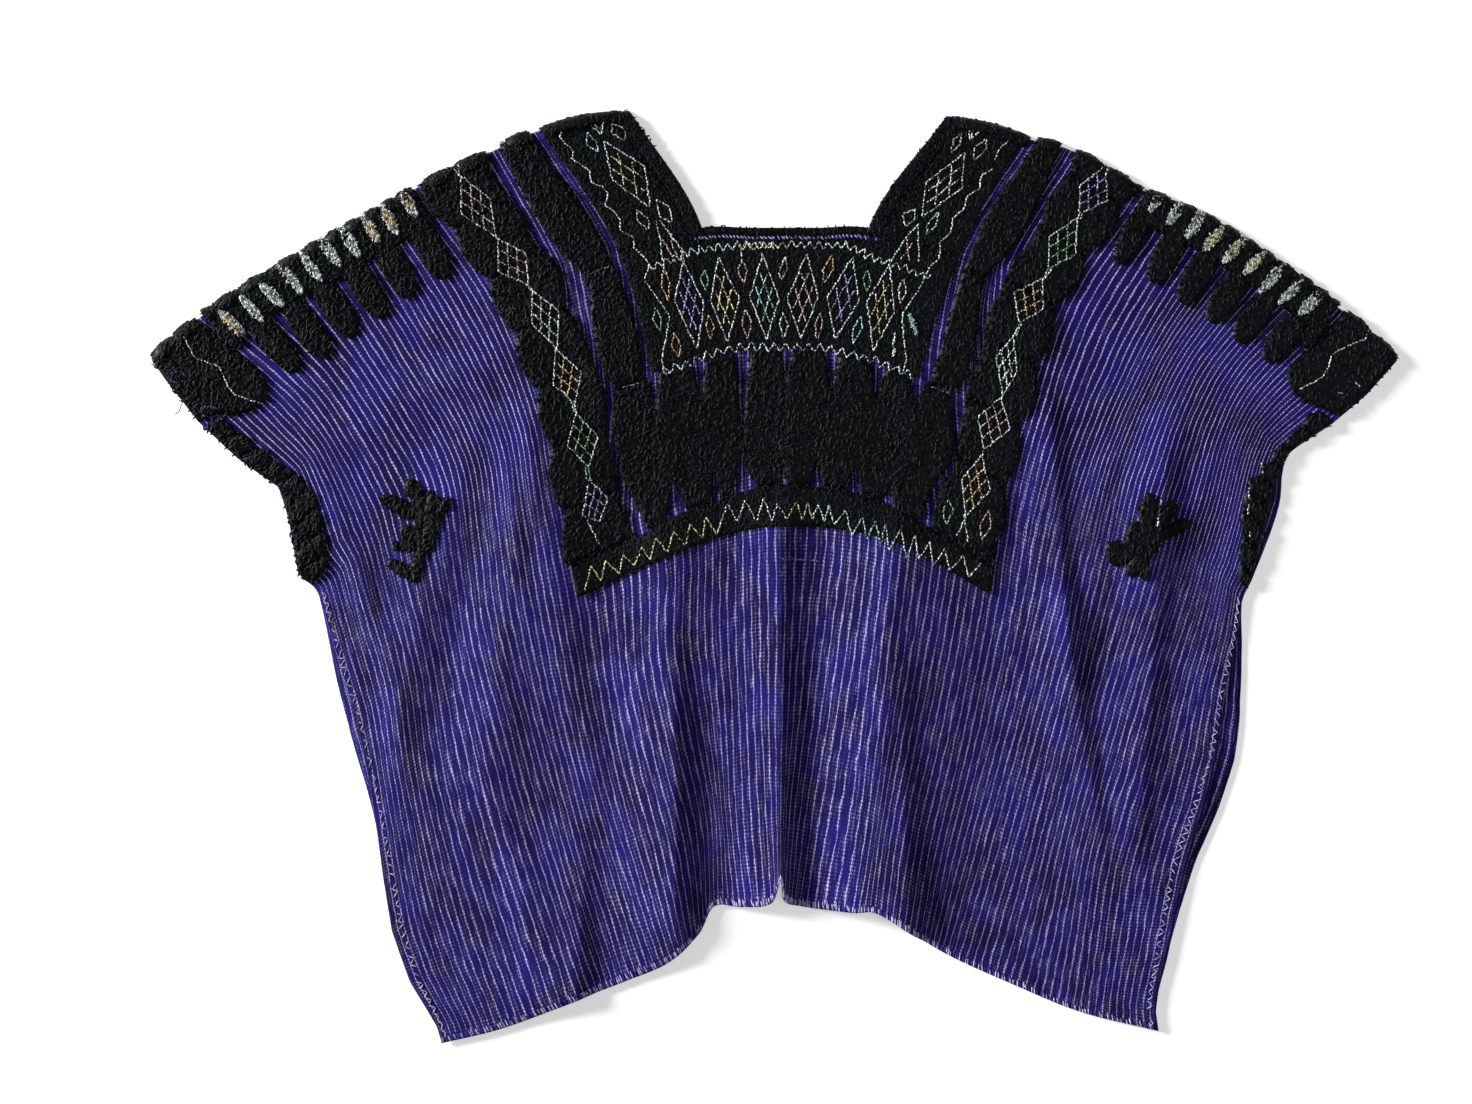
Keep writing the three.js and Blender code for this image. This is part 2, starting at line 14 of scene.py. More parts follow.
import bpy
import numpy as np
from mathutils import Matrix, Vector


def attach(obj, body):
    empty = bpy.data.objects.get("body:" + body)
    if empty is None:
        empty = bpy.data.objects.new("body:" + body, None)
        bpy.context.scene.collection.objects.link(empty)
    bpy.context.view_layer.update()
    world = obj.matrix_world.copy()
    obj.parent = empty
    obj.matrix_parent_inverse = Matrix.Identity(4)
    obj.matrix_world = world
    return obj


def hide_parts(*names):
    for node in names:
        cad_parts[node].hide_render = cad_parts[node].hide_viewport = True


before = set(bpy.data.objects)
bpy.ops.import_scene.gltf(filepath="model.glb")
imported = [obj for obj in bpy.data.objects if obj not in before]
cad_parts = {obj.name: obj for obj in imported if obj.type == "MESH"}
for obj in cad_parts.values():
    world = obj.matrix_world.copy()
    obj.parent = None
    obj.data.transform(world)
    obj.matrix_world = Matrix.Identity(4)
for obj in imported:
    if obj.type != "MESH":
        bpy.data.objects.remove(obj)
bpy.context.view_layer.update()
print("solids:", len(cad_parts))

# %% [markdown]
# ## Sizes
#
# Lengths are in millimetres, as on a maker's table, and turn into metres only
# when a mesh is made. `u` runs across the web from its middle and `v` down the
# warp from the shoulder fold; x and y are places on the floor. The shift puts
# the map's own origin on the frame's. Each layer of cloth has the room of one
# wall, and `FOLD_OUTSIDE` is the radius of the roll at the shoulder fold.

# %% Sizes
MM = 0.001
SHIFT = np.array([0.413, 1.089, 0.0])
CLOTH_WALL = 1.5
CLOTH_THICKNESS = 1.2
GAP = 0.3
FOLD_OUTSIDE = 2 * CLOTH_WALL + GAP
FOLD_END = FOLD_OUTSIDE * (1 - math.pi / 2)
NECK_DEPTH = 99.0
NECK_HALF = 47.0
EDGING = 6.0
HEM = 594.0
WEB_HALF = 343.0
BAND_START = 290.0
BAND_END = 320.0
random = np.random.default_rng(seed=7)
print("web:", 2 * WEB_HALF, "mm across,", HEM, "mm down from the fold")

# %% [markdown]
# ## The lie of the cloth
#
# Each row of `WARP_LINES` is one warp thread as it lies on the floor: its place
# across the web, then its x and y at each station down the cloth. The edge
# tables do the same for the two sides, with a row per bend. A smooth curve
# through them places every other thread, which is how a striped cloth shows
# the pull of its seams and folds.

# %% Warp lines, edges and folds
STATIONS = [0, 99, 191, 255, 320, 388, 457, 525, 594]
WARP_LINES = [
    [-281, -417, 196, -343, 130, -298, 54, -280, -8, -264, -69,
     -255, -137, -240, -204, -221, -270, -198, -334],
    [-233, -343, 241, -288, 158, -243, 80, -232, 17, -223, -46,
     -205, -113, -188, -179, -167, -244, -144, -313],
    [-189, -297, 267, -244, 183, -204, 103, -193, 40, -183, -23,
     -169, -91, -152, -157, -134, -222, -110, -300],
    [-152, -263, 287, -207, 206, -173, 123, -161, 61, -146, -17,
     -135, -85, -121, -152, -102, -217, -80, -287],
    [-106, -209, 313, -162, 228, -126, 142, -111, 80, -96, 6, -94, -62, -80, -129, -64, -196, -56, -265],
    [-79, -172, 329, -117, 243, -92, 157, -82, 94, -68, 17, -68, -49, -58, -114, -47, -179, -45, -245],
    [-47, -107, 342, -54, 256, -46, 162, -41, 96, -39, 28, -39, -40, -35, -108, -32, -176, -25, -245],
    [-18, -30, 344, -17, 256, -13, 164, -13, 100, -12, 34, -11, -34, -10, -102, -7, -171, -3, -241],
    [0, 7, 344, 7, 256, 7, 164, 7, 100, 7, 35, 7, -34, 5, -102, 4, -170, 4, -224],
    [18, 47, 344, 32, 256, 30, 164, 30, 100, 31, 35, 24, -34, 18, -102, 11, -170, 7, -239],
    [47, 126, 338, 69, 256, 63, 164, 61, 100, 61, 31, 53, -37, 43, -106, 32, -174, 21, -245],
    [79, 187, 322, 135, 240, 105, 154, 95, 92, 92, 22, 84, -46, 75, -114, 67, -180, 56, -248],
    [106, 218, 314, 167, 230, 139, 142, 126, 80, 118, 9, 107, -60, 95, -122, 82, -188, 74, -248],
    [152, 268, 286, 213, 205, 184, 118, 169, 55, 159, -15, 147, -78, 133, -142, 118, -204, 106, -268],
    [192, 323, 261, 269, 177, 232, 94, 214, 33, 200, -30, 184, -96, 166, -162, 148, -228, 132, -283],
    [233, 365, 234, 302, 156, 268, 77, 253, 16, 237, -46, 220, -113, 204, -179, 187, -245, 172, -301],
    [281, 411, 202, 343, 128, 316, 48, 297, -14, 277, -74, 258, -141, 240, -208, 230, -274, 223, -322],
]
LEFT_EDGE = [
    (0, -461, 160), (18, -451, 145), (59, -426, 113), (100, -396, 85), (136, -366, 64),
    (161, -359, 40), (203, -352, 0), (220, -338, -11), (252, -329, -41), (292, -318, -78),
    (323, -309, -108), (370, -300, -152), (411, -294, -189), (450, -289, -226), (497, -283, -263),
    (539, -270, -300), (581, -250, -333), (594, -246, -346),
]
RIGHT_EDGE = [
    (0, 460, 159), (35, 437, 133), (70, 411, 111), (96, 388, 96), (107, 377, 88),
    (127, 370, 70), (158, 364, 45), (188, 357, 16), (211, 350, -8), (221, 345, -17),
    (256, 341, -48), (307, 331, -93), (357, 326, -137), (401, 317, -174), (445, 305, -211),
    (489, 297, -248), (534, 289, -285), (561, 283, -307), (577, 281, -322), (594, 283, -337),
]
# A row per fold: x and y of both ends, height at each end, widths of both slopes
FOLDS = [
    (4, 20, 4, -245, 8.5, 12, 32, 11),
    (84, 12, 62, -240, 10.5, 7, 36, 75),
    (94, -95, 96, -255, 2, 11, 60, 12),
    (-78, 12, -76, -130, 6, 3, 34, 60),
    (-74, -30, -73, -250, 0.5, 12, 44, 11),
    (-142, -170, -146, -300, 2, 7, 44, 14),
    (203, 112, 214, -34, 4, 5, 24, 9),
    (214, -34, 236, -180, 5, 4, 26, 10),
    (286, 70, 268, -190, 5, 5, 30, 14),
    (345, -10, 338, -85, 5, 4, 20, 14),
    (-222, 100, -296, -165, 3.5, 6, 30, 22),
    (-181, 110, -214, -140, 6, 6, 26, 60),
    (-308, -25, -314, -120, 4, 4, 24, 14),
    (-345, 85, -189, 170, 3, 3, 24, 24),
    (345, 110, 196, 170, 3, 3, 24, 24),
]
# A row per strip of the back beside the front: side, start, widest, end, width
BACK_STRIPS = [(-1, 210, 320, 420, 7), (1, 98, 150, 226, 7), (1, 215, 330, 540, 14)]
print("warp lines:", len(WARP_LINES), "main folds:", len(FOLDS))


def ease(t):
    """Smooth step from 0 to 1."""
    t = np.clip(t, 0, 1)
    return t * t * (3 - 2 * t)


def curve(places, values, at):
    """Smooth curve through rows of values at places, read at the places in at."""
    places = np.asarray(places, float)
    last = len(places) - 1
    before = np.maximum(np.arange(last + 1) - 1, 0)
    after = np.minimum(np.arange(last + 1) + 1, last)
    shape = (-1,) + (1,) * (values.ndim - 1)
    slope = (values[after] - values[before]) / (places[after] - places[before]).reshape(shape)
    i = np.clip(np.searchsorted(places, at) - 1, 0, last - 1)
    span = (places[i + 1] - places[i]).reshape(shape)
    s = np.clip((at - places[i]).reshape(shape) / span, 0, 1)
    return (
        (2 * s**3 - 3 * s**2 + 1) * values[i]
        + (s**3 - 2 * s**2 + s) * span * slope[i]
        + (3 * s**2 - 2 * s**3) * values[i + 1]
        + (s**3 - s**2) * span * slope[i + 1]
    )


# %% [markdown]
# ## One surface for everything
#
# The front's outer face is worked out once on a fine grid, with its direction
# out of the cloth and its directions across and down. Above the top line the
# cloth rolls over the shoulder fold down to the floor. Long soft creases are
# added to the main folds: each follows a warp line for part of its length, as
# creases do in a cloth that has been folded away. A main fold is a ridge with a
# straight slope on each side, rounded a little at its crest and at its foot.


# %% Folds and creases
CREST, CREST_ROUND, FOOT_ROUND, FOOT_DROP = 1.1, 0.01, 0.02, 0.005
FOLD_FADE = 28
CREASES = 60
# Ranges of a crease: place across, slant, place down, length, width and rise
CREASE = [(-330, 330), (-0.05, 0.05), (120, 520), (60, 200), (6, 15), (0.5, 2.0)]
EDGE_FADE = 60


def fold_height(x, y):
    """Height of the main folds over the back at places in plan."""
    height = np.zeros_like(x)
    for x0, y0, x1, y1, start, end, left, right in FOLDS:
        length = math.hypot(x1 - x0, y1 - y0)
        dx, dy = (x1 - x0) / length, (y1 - y0) / length
        along = (x - x0) * dx + (y - y0) * dy
        aside = (y - y0) * dx - (x - x0) * dy
        beyond = np.maximum(0, np.maximum(-along, along - length)) / FOLD_FADE
        side = aside / np.where(aside > 0, right, left)
        t = np.clip(along / length, 0, 1)
        flank = CREST - np.sqrt(side * side + CREST_ROUND)
        flank = (flank + np.sqrt(flank * flank + FOOT_ROUND)) / 2 - FOOT_DROP
        height += (start + (end - start) * t) * flank * np.exp(-(beyond**2))
    return height


def creases(u, v):
    """Height of small soft creases that follow the warp."""
    height = np.zeros_like(u)
    for _ in range(CREASES):
        at, slant, top, length, width, rise = (random.uniform(*span) for span in CREASE)
        across = (u - at - slant * (v - top)) / width
        height += rise * np.exp(-(across**2) - ((v - top) / length) ** 2 * 2)
    return height * ease((v - EDGE_FADE) / (2 * EDGE_FADE))


middle_fold = np.array([float(FOLDS[0][0])]), np.array([0.0])
print("height of the middle fold:", round(float(fold_height(*middle_fold)[0]), 2), "mm")

# %% [markdown]
# Every piece reads its places from one grid, which is finer than the pieces'
# own, so straight steps between its nodes look smooth. `where` goes the other
# way, from a place on the floor to the place on the cloth.

# %% The front's surface
ROLL_STEPS = 8


class Surface:
    """The front's outer face over u and v, ready to be sampled."""

    def __init__(self, du=1.0, dv=1.5):
        self.u = np.arange(-WEB_HALF, WEB_HALF + du / 2, du)
        below = np.linspace(FOLD_OUTSIDE, HEM, int((HEM - FOLD_OUTSIDE) / dv) + 1)
        roll = np.linspace(FOLD_END, FOLD_OUTSIDE, ROLL_STEPS + 1)[:-1]
        self.v = np.concatenate([roll, below])
        down = np.maximum(self.v, FOLD_OUTSIDE)
        flat = self.plan(down)
        u, v = np.meshgrid(self.u, down, indexing="ij")
        fade = ease((WEB_HALF - np.abs(u)) / EDGE_FADE) * ease(v / EDGE_FADE)
        height = FOLD_OUTSIDE + (fold_height(flat[..., 0], flat[..., 1]) + creases(u, v)) * fade
        point = np.dstack([flat, height])
        across = np.gradient(point, axis=0)
        downward = np.gradient(point, axis=1)
        n = ROLL_STEPS
        downward[:, :n] = downward[:, [n + 1]]
        across[:, :n] = across[:, [n + 1]]
        across /= np.linalg.norm(across, axis=2, keepdims=True)
        downward /= np.linalg.norm(downward, axis=2, keepdims=True)
        out = np.cross(downward, across)
        out /= np.linalg.norm(out, axis=2, keepdims=True)
        turn = (np.clip(FOLD_OUTSIDE - self.v, 0, None) / FOLD_OUTSIDE)[None, :, None]
        level = downward * np.array([1, 1, 0])
        rolled = -level * np.sin(turn) + np.array([0, 0, 1]) * np.cos(turn)
        tangent = level * np.cos(turn) + np.array([0, 0, 1]) * np.sin(turn)
        out[:, :n], downward[:, :n] = rolled[:, :n], tangent[:, :n]
        centre = point[:, [n]] - np.array([0, 0, FOLD_OUTSIDE])
        point[:, :n] = (centre + rolled * FOLD_OUTSIDE)[:, :n]
        self.all = np.concatenate([point + SHIFT, out, across, downward], axis=2)

    def plan(self, v):
        """Places in plan of every warp thread at lengths v down the cloth."""
        rows = np.array(WARP_LINES, float)
        lines = np.stack([rows[:, 1::2].T, rows[:, 2::2].T], axis=2)
        inner = curve(STATIONS, lines, v)
        edges = []
        for edge in (LEFT_EDGE, RIGHT_EDGE):
            at, x, y = np.array(edge, float).T
            edges.append(np.stack([np.interp(v, at, x), np.interp(v, at, y)], axis=1)[:, None])
        lines = np.concatenate([edges[0], inner, edges[1]], axis=1).transpose(1, 0, 2)
        return curve([-WEB_HALF, *rows[:, 0], WEB_HALF], lines, self.u)

    def sample(self, u, v):
        """Point, way out, way across and way down at each u and v."""
        u, v = np.broadcast_arrays(np.asarray(u, float), np.asarray(v, float))
        i = np.interp(u, self.u, np.arange(len(self.u)))
        j = np.interp(v, self.v, np.arange(len(self.v)))
        i0 = np.minimum(i.astype(int), len(self.u) - 2)
        j0 = np.minimum(j.astype(int), len(self.v) - 2)
        s, t = (i - i0)[..., None], (j - j0)[..., None]
        read = (
            self.all[i0, j0] * (1 - s) * (1 - t)
            + self.all[i0 + 1, j0] * s * (1 - t)
            + self.all[i0, j0 + 1] * (1 - s) * t
            + self.all[i0 + 1, j0 + 1] * s * t
        )
        return read[..., 0:3], read[..., 3:6], read[..., 6:9], read[..., 9:12]

    def floor_place(self, u, v):
        """x and y on the floor under each u and v."""
        return (self.sample(u, v)[0] - SHIFT)[..., :2]

    def above(self, u, v, lift):
        """Points at a height over the cloth."""
        point, out, _, _ = self.sample(u, v)
        return point + out * np.asarray(lift)[..., None]

    def where(self, place, coarse=6, rounds=8, longest=6, least_area=0.05):
        """u and v of places on the floor: the nearest node, then a few straight steps."""
        place = np.asarray(place, float).reshape(-1, 2)
        nodes = self.all[::coarse, ::coarse, :2] - SHIFT[:2]
        flat = nodes.reshape(-1, 2)
        nearest = [int(np.argmin(((flat - p) ** 2).sum(axis=1))) for p in place]
        i, j = np.unravel_index(nearest, nodes.shape[:2])
        u, v = self.u[::coarse][i], self.v[::coarse][j]
        du, dv = np.where(u > 0, -1.0, 1.0), np.where(v > HEM / 2, -1.0, 1.0)
        for _ in range(rounds):
            at = self.floor_place(u, v)
            by_u = (self.floor_place(u + du, v) - at) * du[:, None]
            by_v = (self.floor_place(u, v + dv) - at) * dv[:, None]
            off = place - at
            area = by_u[:, 0] * by_v[:, 1] - by_u[:, 1] * by_v[:, 0]
            area = np.where(np.abs(area) < least_area, least_area, area)
            step_u = (off[:, 0] * by_v[:, 1] - off[:, 1] * by_v[:, 0]) / area
            step_v = (by_u[:, 0] * off[:, 1] - by_u[:, 1] * off[:, 0]) / area
            u = np.clip(u + np.clip(step_u, -longest, longest), -WEB_HALF, WEB_HALF)
            v = np.clip(v + np.clip(step_v, -longest, longest), FOLD_END, HEM)
        return np.stack([u, v], axis=1)


cloth = Surface()
print("surface grid:", cloth.all.shape[:2])

# %% [markdown]
# ## Shader sums
#
# Weave and glitter are sums of waves and noise. `Socket` lets a shader output be
# used in ordinary arithmetic, and `Look` adds a node of any type with one call,
# so each finish reads as a formula.


# %% Shader sums
class Socket:
    """An output of a shader node that takes part in arithmetic."""

    def __init__(self, look, output):
        self.look = look
        self.output = output

    def _worked_out(self, operation, first, second):
        return self.look.node("ShaderNodeMath", {"operation": operation}, {0: first, 1: second})

    def __add__(self, other):
        return self._worked_out("ADD", self, other)

    def __radd__(self, other):
        return self._worked_out("ADD", other, self)

    def __sub__(self, other):
        return self._worked_out("SUBTRACT", self, other)

    def __rsub__(self, other):
        return self._worked_out("SUBTRACT", other, self)

    def __mul__(self, other):
        return self._worked_out("MULTIPLY", self, other)

    def __rmul__(self, other):
        return self._worked_out("MULTIPLY", other, self)

    def fraction(self):
        """What is left after the whole number."""
        return self._worked_out("FRACT", self, 0.0)

    def size(self):
        """The number without its sign."""
        return self._worked_out("ABSOLUTE", self, 0.0)

    def sine(self):
        """Sine of an angle in radians."""
        return self._worked_out("SINE", self, 0.0)

    def step(self, low, high):
        """Smooth step from 0 at low to 1 at high."""
        settings = {"interpolation_type": "SMOOTHSTEP", "clamp": True}
        values = {"Value": self, "From Min": low, "From Max": high}
        return self.look.node("ShaderNodeMapRange", settings, values, "Result")


# %% Looks
class Look:
    """A material whose nodes are added one call at a time."""

    def __init__(self, name, **uniform):
        self.material = bpy.data.materials.new(name)
        self.material.use_nodes = True
        self.tree = self.material.node_tree
        self.surface = self.tree.nodes["Principled BSDF"]
        for socket, value in uniform.items():
            self.surface.inputs[socket.replace("_", " ")].default_value = value

    def node(self, kind, settings=None, values=None, output=0):
        """Adds a node of a type, with its settings and its socket values or links."""
        made = self.tree.nodes.new(kind)
        for name, value in (settings or {}).items():
            setattr(made, name, value)
        for key, value in (values or {}).items():
            if isinstance(value, Socket):
                self.tree.links.new(value.output, made.inputs[key])
            else:
                made.inputs[key].default_value = value
        return Socket(self, made.outputs[output])

    def feed(self, socket, value):
        """Links a value to a socket of the surface."""
        self.tree.links.new(value.output, self.surface.inputs[socket])

    def coordinates(self):
        """The two numbers of the cloth's own map: stripes across, millimetres down."""
        both = self.node("ShaderNodeUVMap", {"uv_map": "weave"})
        parts = self.node("ShaderNodeSeparateXYZ", None, {"Vector": both})
        return parts, Socket(self, parts.output.node.outputs[1])

    def noise_at(self, place, scale, detail):
        """Noise from 0 to 1 at a place."""
        values = {"Vector": place, "Scale": scale, "Detail": detail}
        return self.node("ShaderNodeTexNoise", None, values, "Fac")

    def grain(self, x, y, scale, detail=2.0):
        """Noise over two numbers of the map."""
        place = self.node("ShaderNodeCombineXYZ", None, {"X": x, "Y": y})
        return self.noise_at(place, scale, detail)

    def noise(self, scale, detail=2.0):
        """Noise over the object's own space, in metres."""
        place = self.node("ShaderNodeTexCoord", None, None, "Object")
        return self.noise_at(place, scale, detail)

    def mix(self, factor, first, second):
        """Colour between two others."""
        values = {"Factor": factor, 6: first, 7: second}
        return self.node("ShaderNodeMix", {"data_type": "RGBA"}, values, 2)

    def bump(self, height, distance, strength=1.0):
        """Small relief: a height, and how many metres it is worth."""
        values = {"Height": height, "Distance": distance, "Strength": strength}
        self.feed("Normal", self.node("ShaderNodeBump", None, values, "Normal"))


# %% [markdown]
# ## The striped cloth
#
# A warp-faced weave: fine indigo threads with a thin pale stripe every few
# millimetres, beaten up by a weft that breaks the stripes into dashes. Halfway
# between two stripes runs a fainter dotted one. The stripe number comes from
# the map, so the pattern bends with the cloth. Noise stretched along the warp
# makes each stripe fade, wander and thicken, as handspun yarn does. Out in the
# sleeves a closer set of stripes takes over, and fades into the body's set where
# the sleeve ends.


# %% Cloth finish
WEFT_PITCH = 2.7
# Stripe numbers between which the sleeve's set takes over, and lengths down where it fades
SLEEVE_STRIPES, SLEEVE_END = (23.0, 26.0), (190.0, 300.0)


def woven(name, dark, light, stripe):
    """Striped cloth: ground colours dark and light, and the stripes' colour."""
    look = Look(name, Roughness=0.85, Specular_IOR_Level=0.12)
    p, v = look.coordinates()
    drift = look.grain(p, v * 0.035, 1.4, 3.0)
    other = look.grain(p + 40.0, v * 0.03, 1.4, 3.0)
    fine = look.grain(p * 4.0, v * 0.5, 1.6)
    speck = look.grain(p * 8.0, v * 1.5, 1.5)
    dye = look.grain(p * 0.16, v * 0.016, 1.3, 3.0)
    sleeve = p.size().step(*SLEEVE_STRIPES) * (1.0 - v.step(*SLEEVE_END))
    body = 1.0 - sleeve
    weft = (v * (2 * math.pi / WEFT_PITCH) + fine * 9.0).sine() * 0.5 + 0.5
    wobble = (drift - 0.5) * 0.35 + (other - 0.5) * 0.4 + (fine - 0.5) * 0.28
    apart = lambda number: ((number + wobble).fraction() - 0.5).size()
    line = lambda gap, low, high: 1.0 - gap.step(low, high)
    from_main = apart(p)
    dense = line(apart(p * 1.4 + p.size() * 0.1), 0.03, 0.12) * sleeve
    faded = (0.5 + drift.step(0.3, 0.58) * 0.5) * (0.35 + weft * 0.65)
    main = (line(from_main, 0.02, 0.1) * body + dense) * faded
    twin = line((from_main - 0.19).size(), 0.02, 0.08) * drift.step(0.42, 0.66) * weft * body * 0.5
    beads = speck.step(0.36, 0.6) * (0.25 + weft * 0.75) * (0.2 + other.step(0.4, 0.66) * 0.8)
    second = line(apart(p + 0.5), 0.03, 0.12) * beads * (0.25 + body * 0.35)
    shade = speck.step(0.34, 0.72) * 0.5 + weft * 0.08 + dye.step(0.32, 0.68) * 0.42
    ground = look.mix(shade, dark, light)
    pale = main * (0.5 + speck * 1.4) + twin + second + beads * 0.14
    look.feed("Base Color", look.mix(pale.step(0.0, 1.1), ground, stripe))
    look.bump(pale * 0.5 + weft * 0.15 + speck * 0.8, 0.0005)
    return look.material


INDIGO_DARK, INDIGO_LIGHT = (0.0025, 0.0015, 0.016, 1), (0.021, 0.0095, 0.25, 1)
PALE_STRIPE = (0.66, 0.62, 1.0, 1)
cloth_finish = woven("striped_cloth", INDIGO_DARK, INDIGO_LIGHT, PALE_STRIPE)
print("cloth finish:", len(cloth_finish.node_tree.nodes), "nodes")

# %% [markdown]
# ## Yarn and thread
#
# The pile is a matt black wool that lights up only along the top of each loop.
# The metallic threads are flat foil round a core, each with its own tint. Noise
# paints glints into the foil's base colour, so single stitches flash or go dull;
# on plain yarn the same noise only varies the tone.


# %% Yarn finishes
# Scale of the noise that paints glints on foil and varies the tone of plain yarn
GLINTS_AND_TONE_PER_METRE = 420.0


def yarn(name, colour, roughness=0.8, glitter=0.0, shine=0.35):
    """Plain or metallic yarn; glitter is the share of metal."""
    look = Look(name, Roughness=roughness, Metallic=glitter, Specular_IOR_Level=shine)
    # Noise spots in the base colour: painted glints on metallic foil (0.12 to 1.5 times its tint), random
    # tone on plain yarn (0.5 to 1.5)
    glints_and_tone = look.noise(GLINTS_AND_TONE_PER_METRE).step(0.36, 0.62)
    least, most = (0.12, 1.5) if glitter else (0.5, 1.5)
    low = tuple(c * least for c in colour)
    high = tuple(min(1.0, c * most) for c in colour)
    look.feed("Base Color", look.mix(glints_and_tone, (*low, 1), (*high, 1)))
    return look.material


black = yarn("black_yarn", (0.002, 0.0028, 0.0045), 0.5, shine=0.16)
ends = yarn("pale_yarn", (0.5, 0.44, 0.8), 0.9)
FOIL = {
    "silver": (0.45, 0.51, 0.49),
    "mint": (0.28, 0.46, 0.42),
    "gold": (0.48, 0.43, 0.25),
    "orange": (0.45, 0.32, 0.19),
    "pink": (0.42, 0.32, 0.31),
    "purple": (0.3, 0.26, 0.54),
    "green": (0.18, 0.33, 0.2),
    "dim": (0.16, 0.19, 0.2),
}
foils = {name: yarn(f"{name}_foil", colour, 0.45, 0.35) for name, colour in FOIL.items()}
print("finishes:", len(bpy.data.materials))

# %% [markdown]
# ## Making a piece
#
# All meshes go through `piece`: points in millimetres, none below the floor,
# faces as index rows, one finish, smooth faces, and the solid that it stands
# for. `bits` makes many short rounded lengths of yarn at once, each a bent half
# tube that lies on the cloth, which is all that shows of a stitch or a loop.


# %% Pieces
def piece(name, points, faces, finish, stands_for=None, weave=None):
    """Mesh object that rides with the blouse."""
    mesh = bpy.data.meshes.new(name)
    points = np.array(points)
    points[:, 2] = np.maximum(points[:, 2], 0.0)
    mesh.from_pydata((points * MM).tolist(), [], np.asarray(faces).tolist())
    mesh.polygons.foreach_set("use_smooth", np.ones(len(mesh.polygons), bool))
    mesh.materials.append(finish)
    if weave is not None:
        corner = np.empty(len(mesh.loops), int)
        mesh.loops.foreach_get("vertex_index", corner)
        mesh.uv_layers.new(name="weave").data.foreach_set("uv", np.asarray(weave)[corner].ravel())
    mesh.update()
    made = bpy.data.objects.new(name, mesh)
    bpy.context.scene.collection.objects.link(made)
    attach(made, "root")
    if stands_for:
        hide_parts(stands_for)
    return made


# %% Bits of yarn
# How far round below its middle a half tube reaches, and how much its ends taper
TUCKED, TAPER = 0.35, 0.8


def bits(centre, along, out, length, radius, bend, around=4, rings=4):
    """Points and faces of short bent half tubes, one for each centre."""
    count = len(centre)
    along = along / np.linalg.norm(along, axis=1, keepdims=True)
    aside = np.cross(out, along)
    aside /= np.linalg.norm(aside, axis=1, keepdims=True)
    t = np.linspace(-1, 1, rings)[None, :, None, None]
    angle = np.linspace(-TUCKED, math.pi + TUCKED, around)[None, None, :, None]
    grow = lambda value: np.broadcast_to(value, (count,)).reshape(-1, 1, 1, 1)
    spread = lambda vectors: vectors[:, None, None, :]
    thick = grow(radius) * np.sqrt(1 - TAPER * t * t)
    points = (
        spread(centre)
        + spread(along) * t * grow(length) / 2
        + spread(aside) * ((1 - t * t) * grow(bend) + thick * np.cos(angle))
        + spread(out) * thick * np.sin(angle)
    )
    r, a = np.meshgrid(np.arange(rings - 1), np.arange(around - 1), indexing="ij")
    first = (r * around + a).ravel()
    quad = np.stack([first, first + 1, first + around + 1, first + around], axis=1)
    faces = (np.arange(count)[:, None, None] * rings * around + quad[None]).reshape(-1, 4)
    return points.reshape(-1, 3), faces


def join(parts):
    """Points and faces of several sets as one."""
    points, faces, start = [], [], 0
    for some, rows in parts:
        points.append(some)
        faces.append(rows + start)
        start += len(some)
    return np.concatenate(points), np.concatenate(faces)


up, level = np.array([[0.0, 0.0, 1.0]]), np.array([[1.0, 0.0, 0.0]])
print("faces of one stitch:", len(bits(np.zeros((1, 3)), level, up, 1.0, 1.0, 0.0)[1]))


# %% [markdown]
# ## Front and back
#
# The front is a thin shell: its outer face and the same face a little lower,
# closed round every edge. Stripes are numbered from the middle and stand closer
# at the sides. Beside the neck, where the map spreads the cloth, more stripes are
# fitted in, so that they don't lie too far apart. The back lies flat under the
# front and shows only in narrow strips.


# %% Tools for the sheets
MIDDLE_HALF, MIDDLE_PITCH, SIDE_PITCH = 152, 6.1, 5.45
# More stripes on each side of the neck, the width over which they come in, and where they end
MORE_STRIPES, MORE_WIDTH, MORE_END = 9, 59, 125


def stripe_number(u, v):
    """Stripes from the middle of the web."""
    middle = np.clip(u, -MIDDLE_HALF, MIDDLE_HALF)
    number = middle / MIDDLE_PITCH + (u - middle) / SIDE_PITCH + 0.5
    more = MORE_STRIPES * np.clip((np.abs(u) - NECK_HALF) / MORE_WIDTH, 0, 1)
    more = np.where(np.abs(u) < MORE_END, more, 0)
    return number + np.sign(u) * more * np.clip((BAND_START - v) / (BAND_START - NECK_DEPTH), 0, 1)


def weave_map(u, v, start=0):
    """The cloth's own map at every point of a grid: stripes across, millimetres down."""
    return np.stack([stripe_number(u, v).ravel(), v.ravel() + start], axis=1)


def web_cells(u, v, neck_depth):
    """Cells of a grid that lie outside the neck opening."""
    mid_u = (u[:-1, 1:] + u[:-1, :-1]) / 2
    mid_v = (v[1:, 1:] + v[:-1, 1:]) / 2
    return (np.abs(mid_u) > NECK_HALF) | (mid_v > neck_depth)


